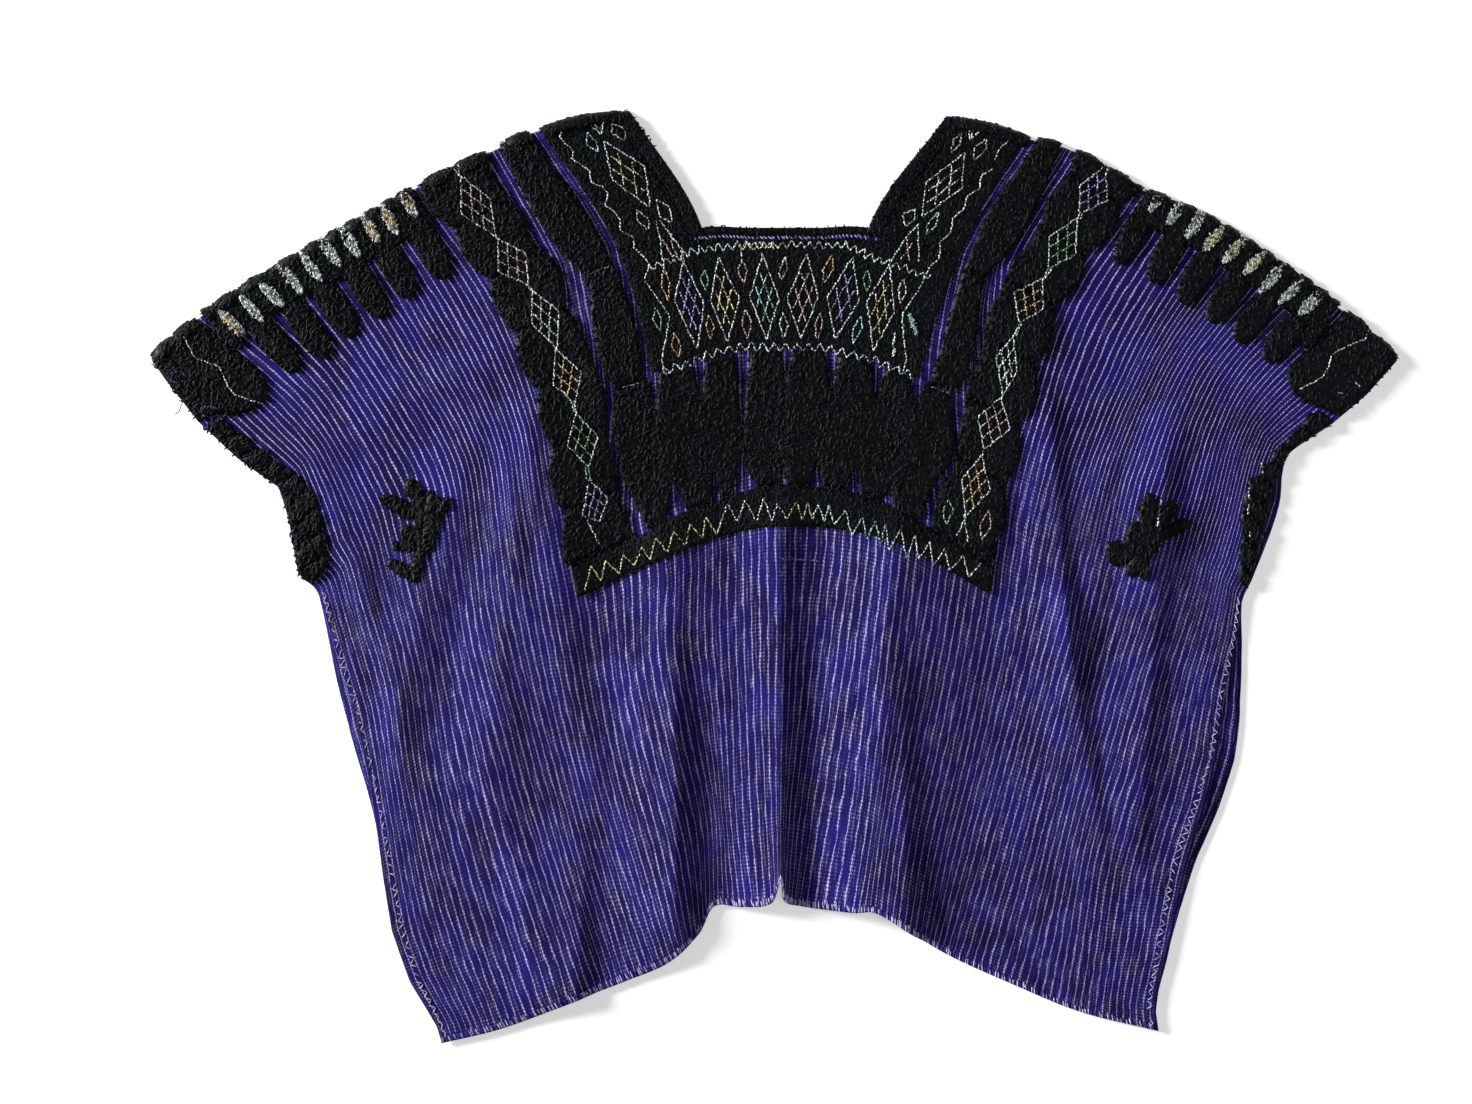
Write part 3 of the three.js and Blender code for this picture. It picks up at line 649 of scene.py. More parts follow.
def shell(top, bottom, keep):
    """Closed shell between two grids of points, over the cells kept."""
    rows, columns = top.shape[:2]
    under = rows * columns
    index = np.arange(under).reshape(rows, columns)
    j, i = np.nonzero(keep)
    a, b, c, d = index[j, i], index[j, i + 1], index[j + 1, i + 1], index[j + 1, i]
    faces = [np.stack([a, d, c, b], axis=1), np.stack([a, b, c, d], axis=1) + under]
    edges = {}
    for way in ((a, b), (b, c), (c, d), (d, a)):
        for p, q in zip(*way):
            edges[(int(p), int(q))] = True
    rim = [(p, q, q + under, p + under) for p, q in edges if (q, p) not in edges]
    faces.append(np.array(rim))
    points = np.concatenate([top.reshape(-1, 3), bottom.reshape(-1, 3)])
    faces = np.concatenate(faces)
    used, renamed = np.unique(faces, return_inverse=True)
    return points[used], renamed.reshape(faces.shape), used % under


def spaced(*places):
    """Places with equal steps between each pair: start, steps, next, steps, and so on."""
    starts, steps, stops = places[:-2:2], places[1::2], places[2::2]
    runs = [np.linspace(a, b, n + 1)[:-1] for a, n, b in zip(starts, steps, stops)]
    return np.concatenate([*runs, [places[-1]]])


# %% Front cloth
across = spaced(-WEB_HALF, 136, -NECK_HALF, 46, NECK_HALF, 136, WEB_HALF)
down = spaced(FOLD_END, 5, FOLD_OUTSIDE, 24, NECK_DEPTH, 125, HEM)
V, U = np.meshgrid(down, across, indexing="ij")
outer, inner = cloth.above(U, V, 0.0), cloth.above(U, V, -CLOTH_THICKNESS)
front_points, front_faces, source = shell(outer, inner, web_cells(U, V, NECK_DEPTH))
weave = weave_map(U, V)[source]
front_cloth = piece("front_cloth", front_points, front_faces, cloth_finish, "front", weave)


# %% Back cloth
# The back's neck opening is a little deeper, its hem is a little higher, and its weave starts elsewhere
BACK_NECK, BACK_HEM, BACK_WEAVE = NECK_DEPTH + 2, HEM - 5, 700


def strip_width(side, v):
    """Width of the back that shows beside the front."""
    width = np.zeros_like(v)
    for of, start, widest, end, most in BACK_STRIPS:
        rise = np.where(v < widest, ease((v - start) / (widest - start)), ease((end - v) / (end - widest)))
        if of == side:
            width = np.maximum(width, most * rise)
    return width


V, U = np.meshgrid(
    spaced(FOLD_OUTSIDE, 13, BACK_NECK, 59, BACK_HEM),
    spaced(-WEB_HALF, 59, -NECK_HALF, 19, NECK_HALF, 59, WEB_HALF), indexing="ij",
)
spot = cloth.sample(U, V)[0]
for side in (-1, 1):
    near = ease((side * U - WEB_HALF + EDGE_FADE) / EDGE_FADE)
    spot[..., 0] += side * near * strip_width(side, V)
top, bottom = spot.copy(), spot.copy()
top[..., 2], bottom[..., 2] = CLOTH_WALL, 0.0
back_points, back_faces, source = shell(top, bottom, web_cells(U, V, BACK_NECK))
weave = weave_map(U, V, BACK_WEAVE)[source]
back_cloth = piece("back_cloth", back_points, back_faces, cloth_finish, "back", weave)

# %% [markdown]
# ## Shapes of the pile
#
# Every black motif is made of plump cushions. A `Cushion` is a grid of places on
# the web whose border is the motif's outline: between two lines down the cloth,
# between two lines across it, or a leaf laid on the floor. It can tell how high
# the pile stands at a place, from next to nothing at the outline to full height
# a few millimetres in, so cushions that meet leave a groove between them. Legs of
# the outline along the shoulder fold don't count, so the pile stays high there.


# %% Cushions
# Least height of the pile, and how many places are measured at a time
SKIN, AT_A_TIME = 0.05, 500


def within(loop, x, y):
    """Whether places are inside a closed outline."""
    odd = np.zeros(x.shape, bool)
    for (ax, ay), (bx, by) in zip(loop, np.roll(loop, -1, axis=0)):
        if ay != by:
            odd ^= ((ay > y) != (by > y)) & (x < ax + (y - ay) * (bx - ax) / (by - ay))
    return odd


class Cushion:
    """Rounded area of pile over a grid of places on the web."""

    def __init__(self, u, v, rise=2.3, edge=6.0):
        self.u, self.v, self.rise, self.edge = u, v, rise, edge
        at = cloth.floor_place(u, v)
        turn = lambda a: np.concatenate([a[0, :-1], a[:-1, -1], a[-1, :0:-1], a[:0:-1, 0]])
        self.loop = turn(at)
        rim_v = turn(v)
        after = np.roll(self.loop, -1, axis=0)
        below_fold = (rim_v > 1) | (np.roll(rim_v, -1) > 1)
        legs = np.linalg.norm(after - self.loop, axis=1)
        steps = [np.linspace(a, b, max(1, int(leg)) + 1)[:-1]
                 for a, b, leg, kept in zip(self.loop, after, legs, below_fold) if kept]
        self.rim = np.concatenate(steps)
        self.low, self.high = self.loop.min(axis=0), self.loop.max(axis=0)

    def height(self, x, y):
        """Height of the bed of pile at places on the floor."""
        result = np.zeros(len(x))
        near = (x > self.low[0]) & (x < self.high[0]) & (y > self.low[1]) & (y < self.high[1])
        near[near] = within(self.loop, x[near], y[near])
        result[near] = self.dome(np.stack([x[near], y[near]], axis=1))
        return result

    def dome(self, place):
        """Height at places that are inside, by their distance from the outline."""
        depth = np.empty(len(place))
        for k in range(0, len(place), AT_A_TIME):
            some = place[k : k + AT_A_TIME, None] - self.rim[None]
            depth[k : k + AT_A_TIME] = np.sqrt((some**2).sum(axis=2).min(axis=1))
        inward = np.clip(depth / self.edge, 0, 1)
        return SKIN + self.rise * np.sqrt(1 - (1 - inward) ** 2)

    def bed(self, is_open):
        """Domed sheet over the grid, without the cells that lie in an opening."""
        rows, columns = self.u.shape
        at = cloth.floor_place(self.u, self.v)
        lift = self.dome(at.reshape(-1, 2)).reshape(rows, columns)
        rim = np.ones((rows, columns), bool)
        rim[1:-1, 1:-1] = False
        lift = np.where(rim & (self.v > 1), SKIN, lift)
        points = cloth.above(self.u, self.v, lift).reshape(-1, 3)
        j, i = np.meshgrid(np.arange(rows - 1), np.arange(columns - 1), indexing="ij")
        first = (j * columns + i).ravel()
        faces = np.stack([first, first + columns, first + columns + 1, first + 1], axis=1)
        middle = points[faces].mean(axis=1) - SHIFT
        return points, faces[~is_open(middle[:, 0], middle[:, 1])]


def standing(first, second, start, end, step=1.8, columns=15, **form):
    """Cushion between two lines down the cloth, given as places across at v."""
    v = spaced(start, max(4, int(abs(end - start) / step)), end)
    s = np.linspace(0, 1, columns)[None]
    low, high = first(v)[:, None], second(v)[:, None]
    return Cushion(low + (high - low) * s, np.broadcast_to(v[:, None], (len(v), columns)), **form)


def lying(first, second, start, end, step=1.5, rows=19, **form):
    """Cushion between two lines across the cloth, given as lengths down at u."""
    u = spaced(start, max(4, int(abs(end - start) / step)), end)
    s = np.linspace(0, 1, rows)[:, None]
    low, high = first(u)[None], second(u)[None]
    return Cushion(np.broadcast_to(u[None], (rows, len(u))), low + (high - low) * s, **form)


# %% Ovals, leaves and edge lines
OVAL_HALF = 14
LEAF_ROWS = 9


def oval_outline(row, reach, count=2 * OVAL_HALF):
    """Outline on the floor of an oval; its ends lie at reach times its length from its middle."""
    x0, y0, x1, y1, half = row
    angle = np.linspace(0, 2 * math.pi, count + 1)[:-1]
    length = math.hypot(x1 - x0, y1 - y0)
    along = 0.5 - reach * np.cos(angle)
    aside = half * np.sign(np.sin(angle)) * np.abs(np.sin(angle)) ** 0.8 / length
    x = x0 + (x1 - x0) * along - (y1 - y0) * aside
    y = y0 + (y1 - y0) * along + (x1 - x0) * aside
    return np.stack([x, y], axis=1)


def leaf(row, reach=0.5, **form):
    """Cushion over an oval on the floor."""
    outline = oval_outline(row, reach)
    near = outline[: OVAL_HALF + 1]
    far = np.concatenate([outline[:1], outline[: OVAL_HALF - 1 : -1]])
    s = np.linspace(0, 1, LEAF_ROWS)[None, :, None]
    place = near[:, None] * (1 - s) + far[:, None] * s
    found = cloth.where(place).reshape(OVAL_HALF + 1, LEAF_ROWS, 2)
    return Cushion(found[..., 0], found[..., 1], **form)


def lobe(place, start, pitch):
    """0 between two lobes and 1 at the middle of each."""
    return np.abs(np.sin(np.pi * (place - start) / pitch))


def constant(value):
    """Line that stays at one value."""
    return lambda place: np.full_like(place, value)


def column(table, k, side=1):
    """Line through one column of a table against its first."""
    rows = np.array(table, float)
    return lambda place: side * np.interp(place, rows[:, 0], rows[:, k])


# %% [markdown]
# The outlines come from short tables, a row per bend. `INNER_EDGES` gives, at a
# length down the cloth, how far out the strap ends and the inner column starts
# and ends, for the left and then the right. `OUTER_EDGES` gives where the outer
# columns start. Slits of cloth part the pointed ovals of the chest block.

# %% Columns and chest block
INNER_EDGES = [
    (-8, 80, 85, 101, 77, 83, 98), (20, 80, 84.5, 102.5, 77.5, 83, 103),
    (40, 79.5, 84, 103, 78, 82.5, 106.5), (62, 79.5, 83.5, 103, 79, 82.5, 109),
    (76, 79.5, 83.2, 102.5, 80.5, 83.5, 110), (94, 79.5, 83, 101, 81, 85, 107),
    (106, 79.5, 83.5, 96, 81, 85.5, 102), (120, 79.5, 83, 96, 81, 86, 100.5),
    (133, 79.5, 82.5, 97.5, 81, 87, 103), (150, 79.5, 82, 102, 81, 87, 106),
    (168, 79.5, 82, 104, 81, 88.5, 107), (186, 79.5, 82.5, 104, 81, 88, 107),
    (201, 79.5, 86, 101, 81, 88, 102),
]
OUTER_EDGES = [
    (-8, 108, 108), (20, 113, 114), (40, 110, 111), (62, 109, 116), (76, 111, 117),
    (94, 105.5, 112), (106, 104.5, 111.5), (120, 107, 112), (130, 110.5, 109.5),
    (146, 107.5, 110), (165, 108, 113), (186, 108, 108.5), (200, 106.5, 109),
    (214, 110.5, 111), (232, 113, 111), (256, 112, 110.8), (270, 114, 103.5), (299, 110, 101),
]
# A row per slit: left foot, point and right foot across the cloth, and the length down of its point
UPPER_SLITS = [
    (-83, -81, -75, 229), (-58, -56, -51, 224), (-34, -30, -22, 255), (-2, 0, 5, 216),
    (23, 28, 35, 219), (52, 58, 64, 224), (77, 83, 85, 226),
]
LOWER_SLITS = [
    (-87, -77, -72, 273), (-55, -51, -48, 270), (-40, -31, -18, 262), (-3, -1, 2, 273),
    (14, 19, 21, 267), (37, 45, 50, 273), (63, 70, 73, 283),
]
# Rounded ends of the chest block: place across, top and bottom
LEFT_END = [(100, 202, 299), (103, 206, 287), (106, 215, 276), (108, 223, 268), (110, 241, 258)]
RIGHT_END = [(92, 202, 299), (98, 202, 277), (101, 204, 268), (104, 222, 263), (109.5, 233, 250)]
print("slits:", len(UPPER_SLITS) + len(LOWER_SLITS))

# %% Ovals, lens openings and leaves
# A row gives x and y of both ends and half the width
LEFT_OVALS = [
    (-414, 192, -394, 168, 8), (-388, 195, -352, 150, 10.5), (-359, 202, -330, 161, 10.5),
    (-338, 217, -310, 176, 10.5), (-314, 231, -288, 190, 10.5), (-292, 248, -268, 204, 10.5),
    (-266, 266, -243, 218, 10.5),
]
RIGHT_OVALS = [
    (275, 273, 253, 229, 9.5), (300, 256, 278, 215, 10.5), (323, 240, 300, 200, 10.5),
    (346, 225, 321, 186, 10.5), (368, 211, 341, 171, 10.5), (390, 194, 362, 157, 10.5),
    (408, 192, 388, 168, 7.5),
]
LEFT_LENSES = [
    (-409, 194, -391, 176, 4), (-394, 205, -377, 187, 3.5), (-379, 214, -362, 198, 4),
    (-367, 232, -348, 207, 4), (-349, 237, -334, 216, 3.5), (-337, 251, -320, 227, 4),
    (-323, 260, -306, 234, 4), (-305, 266, -292, 245, 4), (-290, 272, -278, 251, 4),
    (-277, 284, -264, 264, 4),
]
RIGHT_LENSES = [
    (288, 285, 276, 268, 3.5), (302, 276, 289, 258, 4), (316, 268, 303, 248, 4),
    (329, 255, 316, 239, 4), (347, 249, 330, 230, 4), (360, 236, 345, 222, 4),
    (376, 229, 357, 208, 4), (388, 216, 371, 200, 3.5), (403, 208, 386, 192, 4),
]
LEFT_SPRAY = [
    (-269, 69, -266, 57, 6), (-288, 56, -266, 45, 6), (-263, 61, -262, 36, 5), (-253, 59, -256, 37, 5),
    (-241, 55, -250, 40, 4), (-252, 44, -257, 20, 6), (-275, 33, -260, 26, 6), (-280, 22, -262, 20, 4),
    (-260, 23, -266, -3, 5), (-284, 9, -269, 0, 5),
]
RIGHT_SPRAY = [
    (275, 57, 272, 31, 6), (292, 52, 280, 31, 5), (304, 38, 283, 29, 5), (283, 28, 258, 22, 7),
    (265, 38, 260, 22, 4), (249, 23, 253, 8, 7), (278, 19, 255, 13, 5), (269, 14, 262, 1, 6),
    (271, 14, 272, -2, 4),
]
print("ovals:", len(LEFT_OVALS) + len(RIGHT_OVALS), "lens openings:", len(LEFT_LENSES) + len(RIGHT_LENSES))

# %% Sleeve ends and arm edgings
# A row gives the length down, then the start and end of a sleeve end, or the width of an edging
LEFT_PAIR = [
    (-6, 292, 342.5), (10, 291, 342.5), (27, 290.5, 342.5), (53, 290.5, 342.5), (60, 290.5, 342.5),
    (64, 291, 330), (72, 294, 325), (80, 300, 312),
]
RIGHT_PAIR = [
    (-6, 295, 342.5), (15, 293.5, 342.5), (33, 293, 342.5), (54, 291.5, 342.5), (62, 295, 342.5),
    (66, 301, 326), (69, 307, 318),
]
LEFT_ARM = [
    (66, 10), (90, 12), (105, 13), (127, 14), (142, 18), (161, 25), (176, 24), (192, 24), (208, 19),
    (214, 12),
]
RIGHT_ARM = [
    (67.5, 13), (78, 12), (98, 9), (112, 8), (130, 15), (148, 26), (170, 25), (182, 20), (202, 15), (214, 8),
]
TOP = FOLD_END + 0.4
DIAMOND_PITCH = 45.5
STRAP_END, INNER_SPLIT, INNER_END, OUTER_END = 103.5, 113.0, 201.0, 299.0
SCALLOP_START, SCALLOP_PITCH, ARM_END, SEAM_SIDE = 84.0, 17.0, 214.0, 342.5
print("arm edgings end", ARM_END, "mm down")


# %% Edge lines by formula
def panel_top(u):
    """Top of the neck panel, a step lower in the middle."""
    return np.where(np.abs(u) < 53, 108.0, 103.0)


def panel_bottom(u):
    """Bottom of the neck panel, lower at its sides."""
    return 188 + 12 * np.minimum(1, np.abs(u) / 78) ** 2


def band_top(u):
    """Top of the chest band, lower at its sides."""
    return BAND_START - 1 + 11 * np.minimum(1, np.abs(u) / 100) ** 1.3


def slit(u, row):
    """How far a slit reaches at u, from 0 at its feet to 1 at its point."""
    left, point, right, _ = row
    share = np.where(u < point, (u - left) / (point - left), (right - u) / (right - point))
    return np.clip(share, 0, 1) ** 1.3


def block_edge(u, slits, edge, k, furthest):
    """Top or bottom of the chest block: its edge, its slits and its rounded ends."""
    cuts = [edge + (row[3] - edge) * slit(u, row) for row in slits]
    for side, table in ((-1, LEFT_END), (1, RIGHT_END)):
        end = column(table, k)(side * u)
        cuts.append(np.where(side * u > table[0][0], end, edge))
    return furthest.reduce(cuts)


def block_top(u):
    """Top of the chest block, with the slits between its upper points."""
    return block_edge(u, UPPER_SLITS, panel_bottom(u) + 0.8, 1, np.maximum)


def block_bottom(u):
    """Bottom of the chest block, with the slits between its lower points."""
    return block_edge(u, LOWER_SLITS, band_top(u) - 0.5, 2, np.minimum)


def split(first, second, places, **form):
    """Cushions one below the other, parted at places down the cloth."""
    return [standing(first, second, a, b, **form) for a, b in zip(places[:-1], places[1:])]


at_middle = [round(float(edge(np.zeros(1))[0]), 1) for edge in (block_top, block_bottom)]
print("chest block at the middle:", at_middle)

# %% Build the cushions
NECK_LOW = NECK_DEPTH + EDGING
left_rim, right_rim = constant(-NECK_HALF - EDGING), constant(NECK_HALF + EDGING)
neck_top, neck_low, band_low = constant(NECK_DEPTH), constant(NECK_LOW), constant(BAND_END)
cushions = {
    "neck_panel": [lying(panel_top, panel_bottom, -79.5, 81.0, rise=1.2, edge=3)],
    "chest_block": [lying(block_top, block_bottom, -110.0, 109.5, step=1.0, rows=25)],
    "chest_band": [lying(band_top, band_low, -152.0, 152.0, step=2.0, rows=13, rise=1.6, edge=4)],
    "neck_edging": [
        standing(left_rim, constant(-NECK_HALF), TOP, NECK_LOW, rise=1.5, edge=3),
        standing(constant(NECK_HALF), right_rim, TOP, NECK_LOW, rise=1.5, edge=3),
        lying(neck_top, neck_low, -NECK_HALF, NECK_HALF, step=2.0, rows=7, rise=1.2, edge=3),
    ],
    "spray_left": [leaf(row, 0.62, rise=2.4, edge=4.5) for row in LEFT_SPRAY],
    "spray_right": [leaf(row, 0.62, rise=2.4, edge=4.5) for row in RIGHT_SPRAY],
}
# A row per side: its sign and name, where its columns of INNER_EDGES and its notches start,
# its ovals, the depth and end of its shoulder row, and its sleeve end and arm edging
SIDES = [
    (-1, "left", 1, 41, LEFT_OVALS, 30, 287.0, LEFT_PAIR, LEFT_ARM),
    (1, "right", 4, 17, RIGHT_OVALS, 25, 286.5, RIGHT_PAIR, RIGHT_ARM),
]
for side, word, k, start, ovals, depth, row_end, pair, arm in SIDES:
    strap_end = column(INNER_EDGES, k, side)
    near, far = column(INNER_EDGES, k + 1, side), column(INNER_EDGES, k + 2, side)
    inside_line = column(OUTER_EDGES, 1 if side < 0 else 2, side)
    outside_line = lambda v, side=side, start=start: side * (149.5 + 6 * lobe(v, start, DIAMOND_PITCH))
    notches = [v for v in start + DIAMOND_PITCH * np.arange(-1, 8) if 6 < v < 285]
    scallop = lambda v: 3 * lobe(v, SCALLOP_START, SCALLOP_PITCH)
    arm_line = lambda v, side=side, arm=arm: side * (WEB_HALF - column(arm, 1)(v) - scallop(v))
    strap_start = constant(side * (NECK_HALF + EDGING))
    cushions[f"strap_{word}"] = [standing(strap_start, strap_end, TOP, STRAP_END, rise=1.4, edge=3)]
    cushions[f"inner_column_{word}"] = split(near, far, [TOP, INNER_SPLIT, INNER_END])
    cushions[f"outer_column_{word}"] = split(inside_line, outside_line, [TOP, *notches, OUTER_END])
    heads = lying(constant(TOP), constant(depth), side * 157.0, side * row_end, step=2.0, rows=11)
    cushions[f"shoulder_row_{word}"] = [heads, *(leaf(row) for row in ovals)]
    cushions[f"sleeve_end_{word}"] = [
        standing(column(pair, 1, side), column(pair, 2, side), TOP, float(pair[-1][0]))
    ]
    scallops = np.arange(SCALLOP_START, ARM_END, SCALLOP_PITCH)
    places = [arm[0][0], *scallops, ARM_END]
    cushions[f"armhole_edging_{word}"] = split(arm_line, constant(side * SEAM_SIDE), places)
print("cushions:", sum(len(some) for some in cushions.values()))

# %% [markdown]
# ## Chart of the metallic thread
#
# Places are x and y on the floor. A diamond's row gives its colour and its top,
# right, bottom and left corners; the chains and the panel have a silver outline
# and a lattice in the row's colour, and lozenges are single outlines. A line's
# row gives the places it passes through.

# %% Diamonds
LEFT_CHAIN = [
    ("pink", -231.5, 293.5, -210, 277, -205.5, 249, -231, 265.5),
    ("pink", -204, 247, -183.5, 237, -181.5, 213, -203.5, 223),
    ("silver", -178.5, 209, -159, 194, -160.5, 166, -179, 184),
    ("orange", -161.5, 166, -142, 149, -147.5, 125.5, -163.5, 140),
    ("green", -146.5, 118, -130, 102, -137.5, 79, -153, 95),
    ("purple", -137, 70, -123, 56, -129.5, 39, -142, 43.5),
]
RIGHT_CHAIN = [
    ("purple", 243.5, 301, 245, 275.5, 224, 265.5, 225, 287),
    ("green", 222.5, 262.5, 221.5, 235.5, 201.5, 225.5, 202, 249),
    ("orange", 197, 218, 197.5, 195, 180, 184.5, 176, 207.5),
    ("silver", 175.5, 175, 178.5, 150, 168, 132, 163, 161),
    ("pink", 166.5, 130.5, 173, 107, 154, 92, 149.5, 116),
    ("orange", 152.5, 87.5, 158.5, 62, 140.5, 42.5, 137.5, 70),
]
STRAP_DIAMONDS = [
    ("gold", -126, 319.5, -96, 301, -92, 270.5, -120, 291),
    ("silver", 140, 311, 137.5, 284.5, 108, 263, 111.5, 289),
]
PANEL_DIAMONDS = [
    ("purple", -67.5, 231, -52.5, 199.5, -57.5, 166, -74, 201.5),
    ("gold", -42, 234, -26, 203, -35, 172, -47.5, 201.5),
    ("mint", -9, 236.5, 3, 203, -6, 173.5, -18.5, 204.5),
    ("pink", 23.5, 236.5, 32, 204.5, 19, 173.5, 9, 203),
    ("purple", 57.5, 234, 62, 201.5, 44.5, 173.5, 38.5, 204.5),
    ("gold", 84.5, 229, 88, 194, 72, 164.5, 68, 201.5),
]
LOZENGES = [
    ("pink", -120.5, 332.5, -111, 329, -110.5, 319.5, -120, 325),
    ("mint", -138.5, 326, -131.5, 318.5, -130, 311, -139, 317),
    ("pink", -102, 269.5, -92.5, 261, -93, 253.5, -101.5, 261),
    ("silver", -87.5, 276.5, -77.5, 271, -75.5, 259.5, -84.5, 263),
    ("pink", 137, 325, 137, 318, 130, 310.5, 131, 319.5),
    ("pink", 155.5, 321, 156, 314, 146.5, 305, 146.5, 314),
    ("silver", 103, 269.5, 103, 261, 95.5, 256.5, 94.5, 265.5),
    ("mint", 120.5, 267, 119, 258, 111.5, 250.5, 113, 259.5),
    ("orange", -82, 227, -77.5, 214, -78.5, 201.5, -83.5, 212),
    ("green", -88, 197, -83.5, 188.5, -84.5, 179.5, -89.5, 187),
    ("orange", -74, 178, -69.5, 169, -70.5, 160, -76, 169),
    ("green", -52, 224, -49, 218, -51, 209, -55, 218),
    ("orange", -49, 191.5, -45, 182.5, -47.5, 173.5, -51, 182.5),
    ("pink", -24.5, 231, -20, 224, -23, 215, -27.5, 224),
    ("pink", -21.5, 195.5, -17, 185.5, -20.5, 173.5, -24.5, 185.5),
    ("silver", 7.5, 234, 9.5, 225.5, 5, 216.5, 3, 224),
    ("silver", 6, 193, 9.5, 184, 6.5, 173.5, 3.5, 184),
    ("orange", 42, 235.5, 43, 225.5, 36.5, 215, 35, 224),
    ("pink", 33.5, 193, 35.5, 184, 31, 173.5, 29.5, 184),
    ("green", 67.5, 224, 71, 216.5, 67.5, 207.5, 65, 218),
    ("mint", 63, 190, 65, 182.5, 57.5, 170, 57.5, 181),
    ("silver", 94.5, 218, 97, 209, 92, 199.5, 91, 210.5),
    ("silver", 89, 178.5, 86.5, 170, 89.5, 164.5, 86.5, 160),
    ("green", 128, 55, 131.5, 47.5, 126, 36.5, 123, 46),
    ("pink", 157.5, 47.5, 159, 34.5, 151.5, 25.5, 151, 36.5),
]
print("lattice diamonds:", len(LEFT_CHAIN + RIGHT_CHAIN + STRAP_DIAMONDS + PANEL_DIAMONDS))

# %% Lines
LINES = [
    ("silver", 349.5, 64, 349, 55.5),
    ("silver", 349, 52, 348.5, 44),
    ("silver", 349.5, 32, 350, 27),
    ("silver", 359, 83, 359.5, 75),
    ("silver", 283.5, 55, 280, 35),
    ("purple", 427.5, 141.5, 431.5, 138),
    ("purple", 414.5, 134.5, 418, 133.5),
    ("purple", 4, 12, 32, 10),
    ("silver", -239, 302.5, -232.5, 293.5),
    ("silver", -233, 306.5, -232.5, 293.5),
    ("silver", -205.5, 249, -203.5, 246),
    ("silver", -208, 250.5, -204, 247),
    ("silver", -181.5, 213, -178.5, 209),
    ("silver", -183.5, 214, -179, 208.5),
    ("silver", -161.5, 167, -160.5, 164.5),
    ("silver", -148, 127, -146, 117.5),
    ("silver", -150, 127.5, -148, 119),
    ("green", -137.5, 79.5, -136, 69),
    ("green", -140, 81, -138.5, 70),
    ("silver", -138.5, 40.5, -134, 31.5, -129.5, 22),
    ("silver", 224, 266, 222.5, 261.5),
    ("silver", 226.5, 266, 225, 261.5),
    ("silver", 201.5, 225.5, 197, 217),
    ("silver", 203.5, 225.5, 199, 218),
    ("silver", 180, 184.5, 175.5, 174.5),
    ("silver", 182, 184.5, 177.5, 175),
    ("silver", 168, 132, 166.5, 129),
    ("silver", 154, 92, 152.5, 87),
    ("silver", 140.5, 42.5, 137, 34.5, 133, 28.5),
    ("silver", 139, 43.5, 140.5, 33, 142, 24),
    ("silver", 243.5, 301, 249.5, 308),
    ("silver", 245, 299.5, 252.5, 305),
    ("silver", -141.5, 337, -134, 329.5, -127.5, 324.5, -126.5, 333.5, -127.5, 341.5),
    ("silver", -140, 338.5, -132.5, 331, -126.5, 326),
    ("silver", -87.5, 261, -84.5, 247.5, -83, 231),
    ("silver", -85, 261.5, -79, 253.5, -68, 238.5, -66.5, 227),
    ("pink", -83, 247.5, -73.5, 231),
    ("pink", -76, 251, -76, 243, -70.5, 231),
    ("silver", 144.5, 335.5, 143.5, 327.5, 143, 319.5, 151.5, 327.5, 160, 335),
    ("silver", 146.5, 335.5, 145, 321),
    ("silver", 106, 258.5, 96, 247.5, 89, 236.5, 85, 231),
    ("silver", 105, 256.5, 106, 244, 106, 231),
    ("pink", 97, 247.5, 99, 231),
    ("pink", 101.5, 244, 92.5, 232.5),
    ("silver", -96, 216.5, -85, 201.5, -77.5, 190, -80.5, 173.5, -83.5, 158.5, -81.5, 147.5, -77, 148.5),
    ("silver", 114.5, 227, 106, 210.5, 94, 192, 94.5, 177, 97, 158.5, 94.5, 150),
    ("silver", -24.5, 240, -24.5, 231),
    ("silver", -156, 336.5, -158.5, 321.5, -148.5, 312.5, -149.5, 306.5, -142, 301.5, -137, 298, -135.5,
      289, -127.5, 286, -123, 281, -125, 272, -118.5, 268, -114.5, 262.5, -114, 253.5, -104.5, 249,
      -103.5, 240, -96, 234, -92.5, 227, -96, 218),
    ("silver", 171, 329, 171.5, 319.5, 164.5, 312.5, 161.5, 305),
    ("silver", 160.5, 298.5, 151.5, 293.5, 151, 284.5, 141.5, 278.5, 139, 269, 131, 263, 129.5, 252, 122,
      245.5, 121.5, 234, 114.5, 227),
    ("silver", -438, 187, -434.5, 173.5, -427.5, 160, -409, 153, -403.5, 140, -399, 133, -377.5, 125.5),
    ("silver", 437.5, 184.5, 435, 173.5, 422, 168.5, 410.5, 162.5, 407, 151.5, 403.5, 145.5, 387, 136.5),
    ("dim", -137, 221.5, -129.5, 224.5, -122, 227),
    ("dim", -112.5, 138, -100, 141),
    ("dim", 114.5, 138, 129.5, 133.5),
]
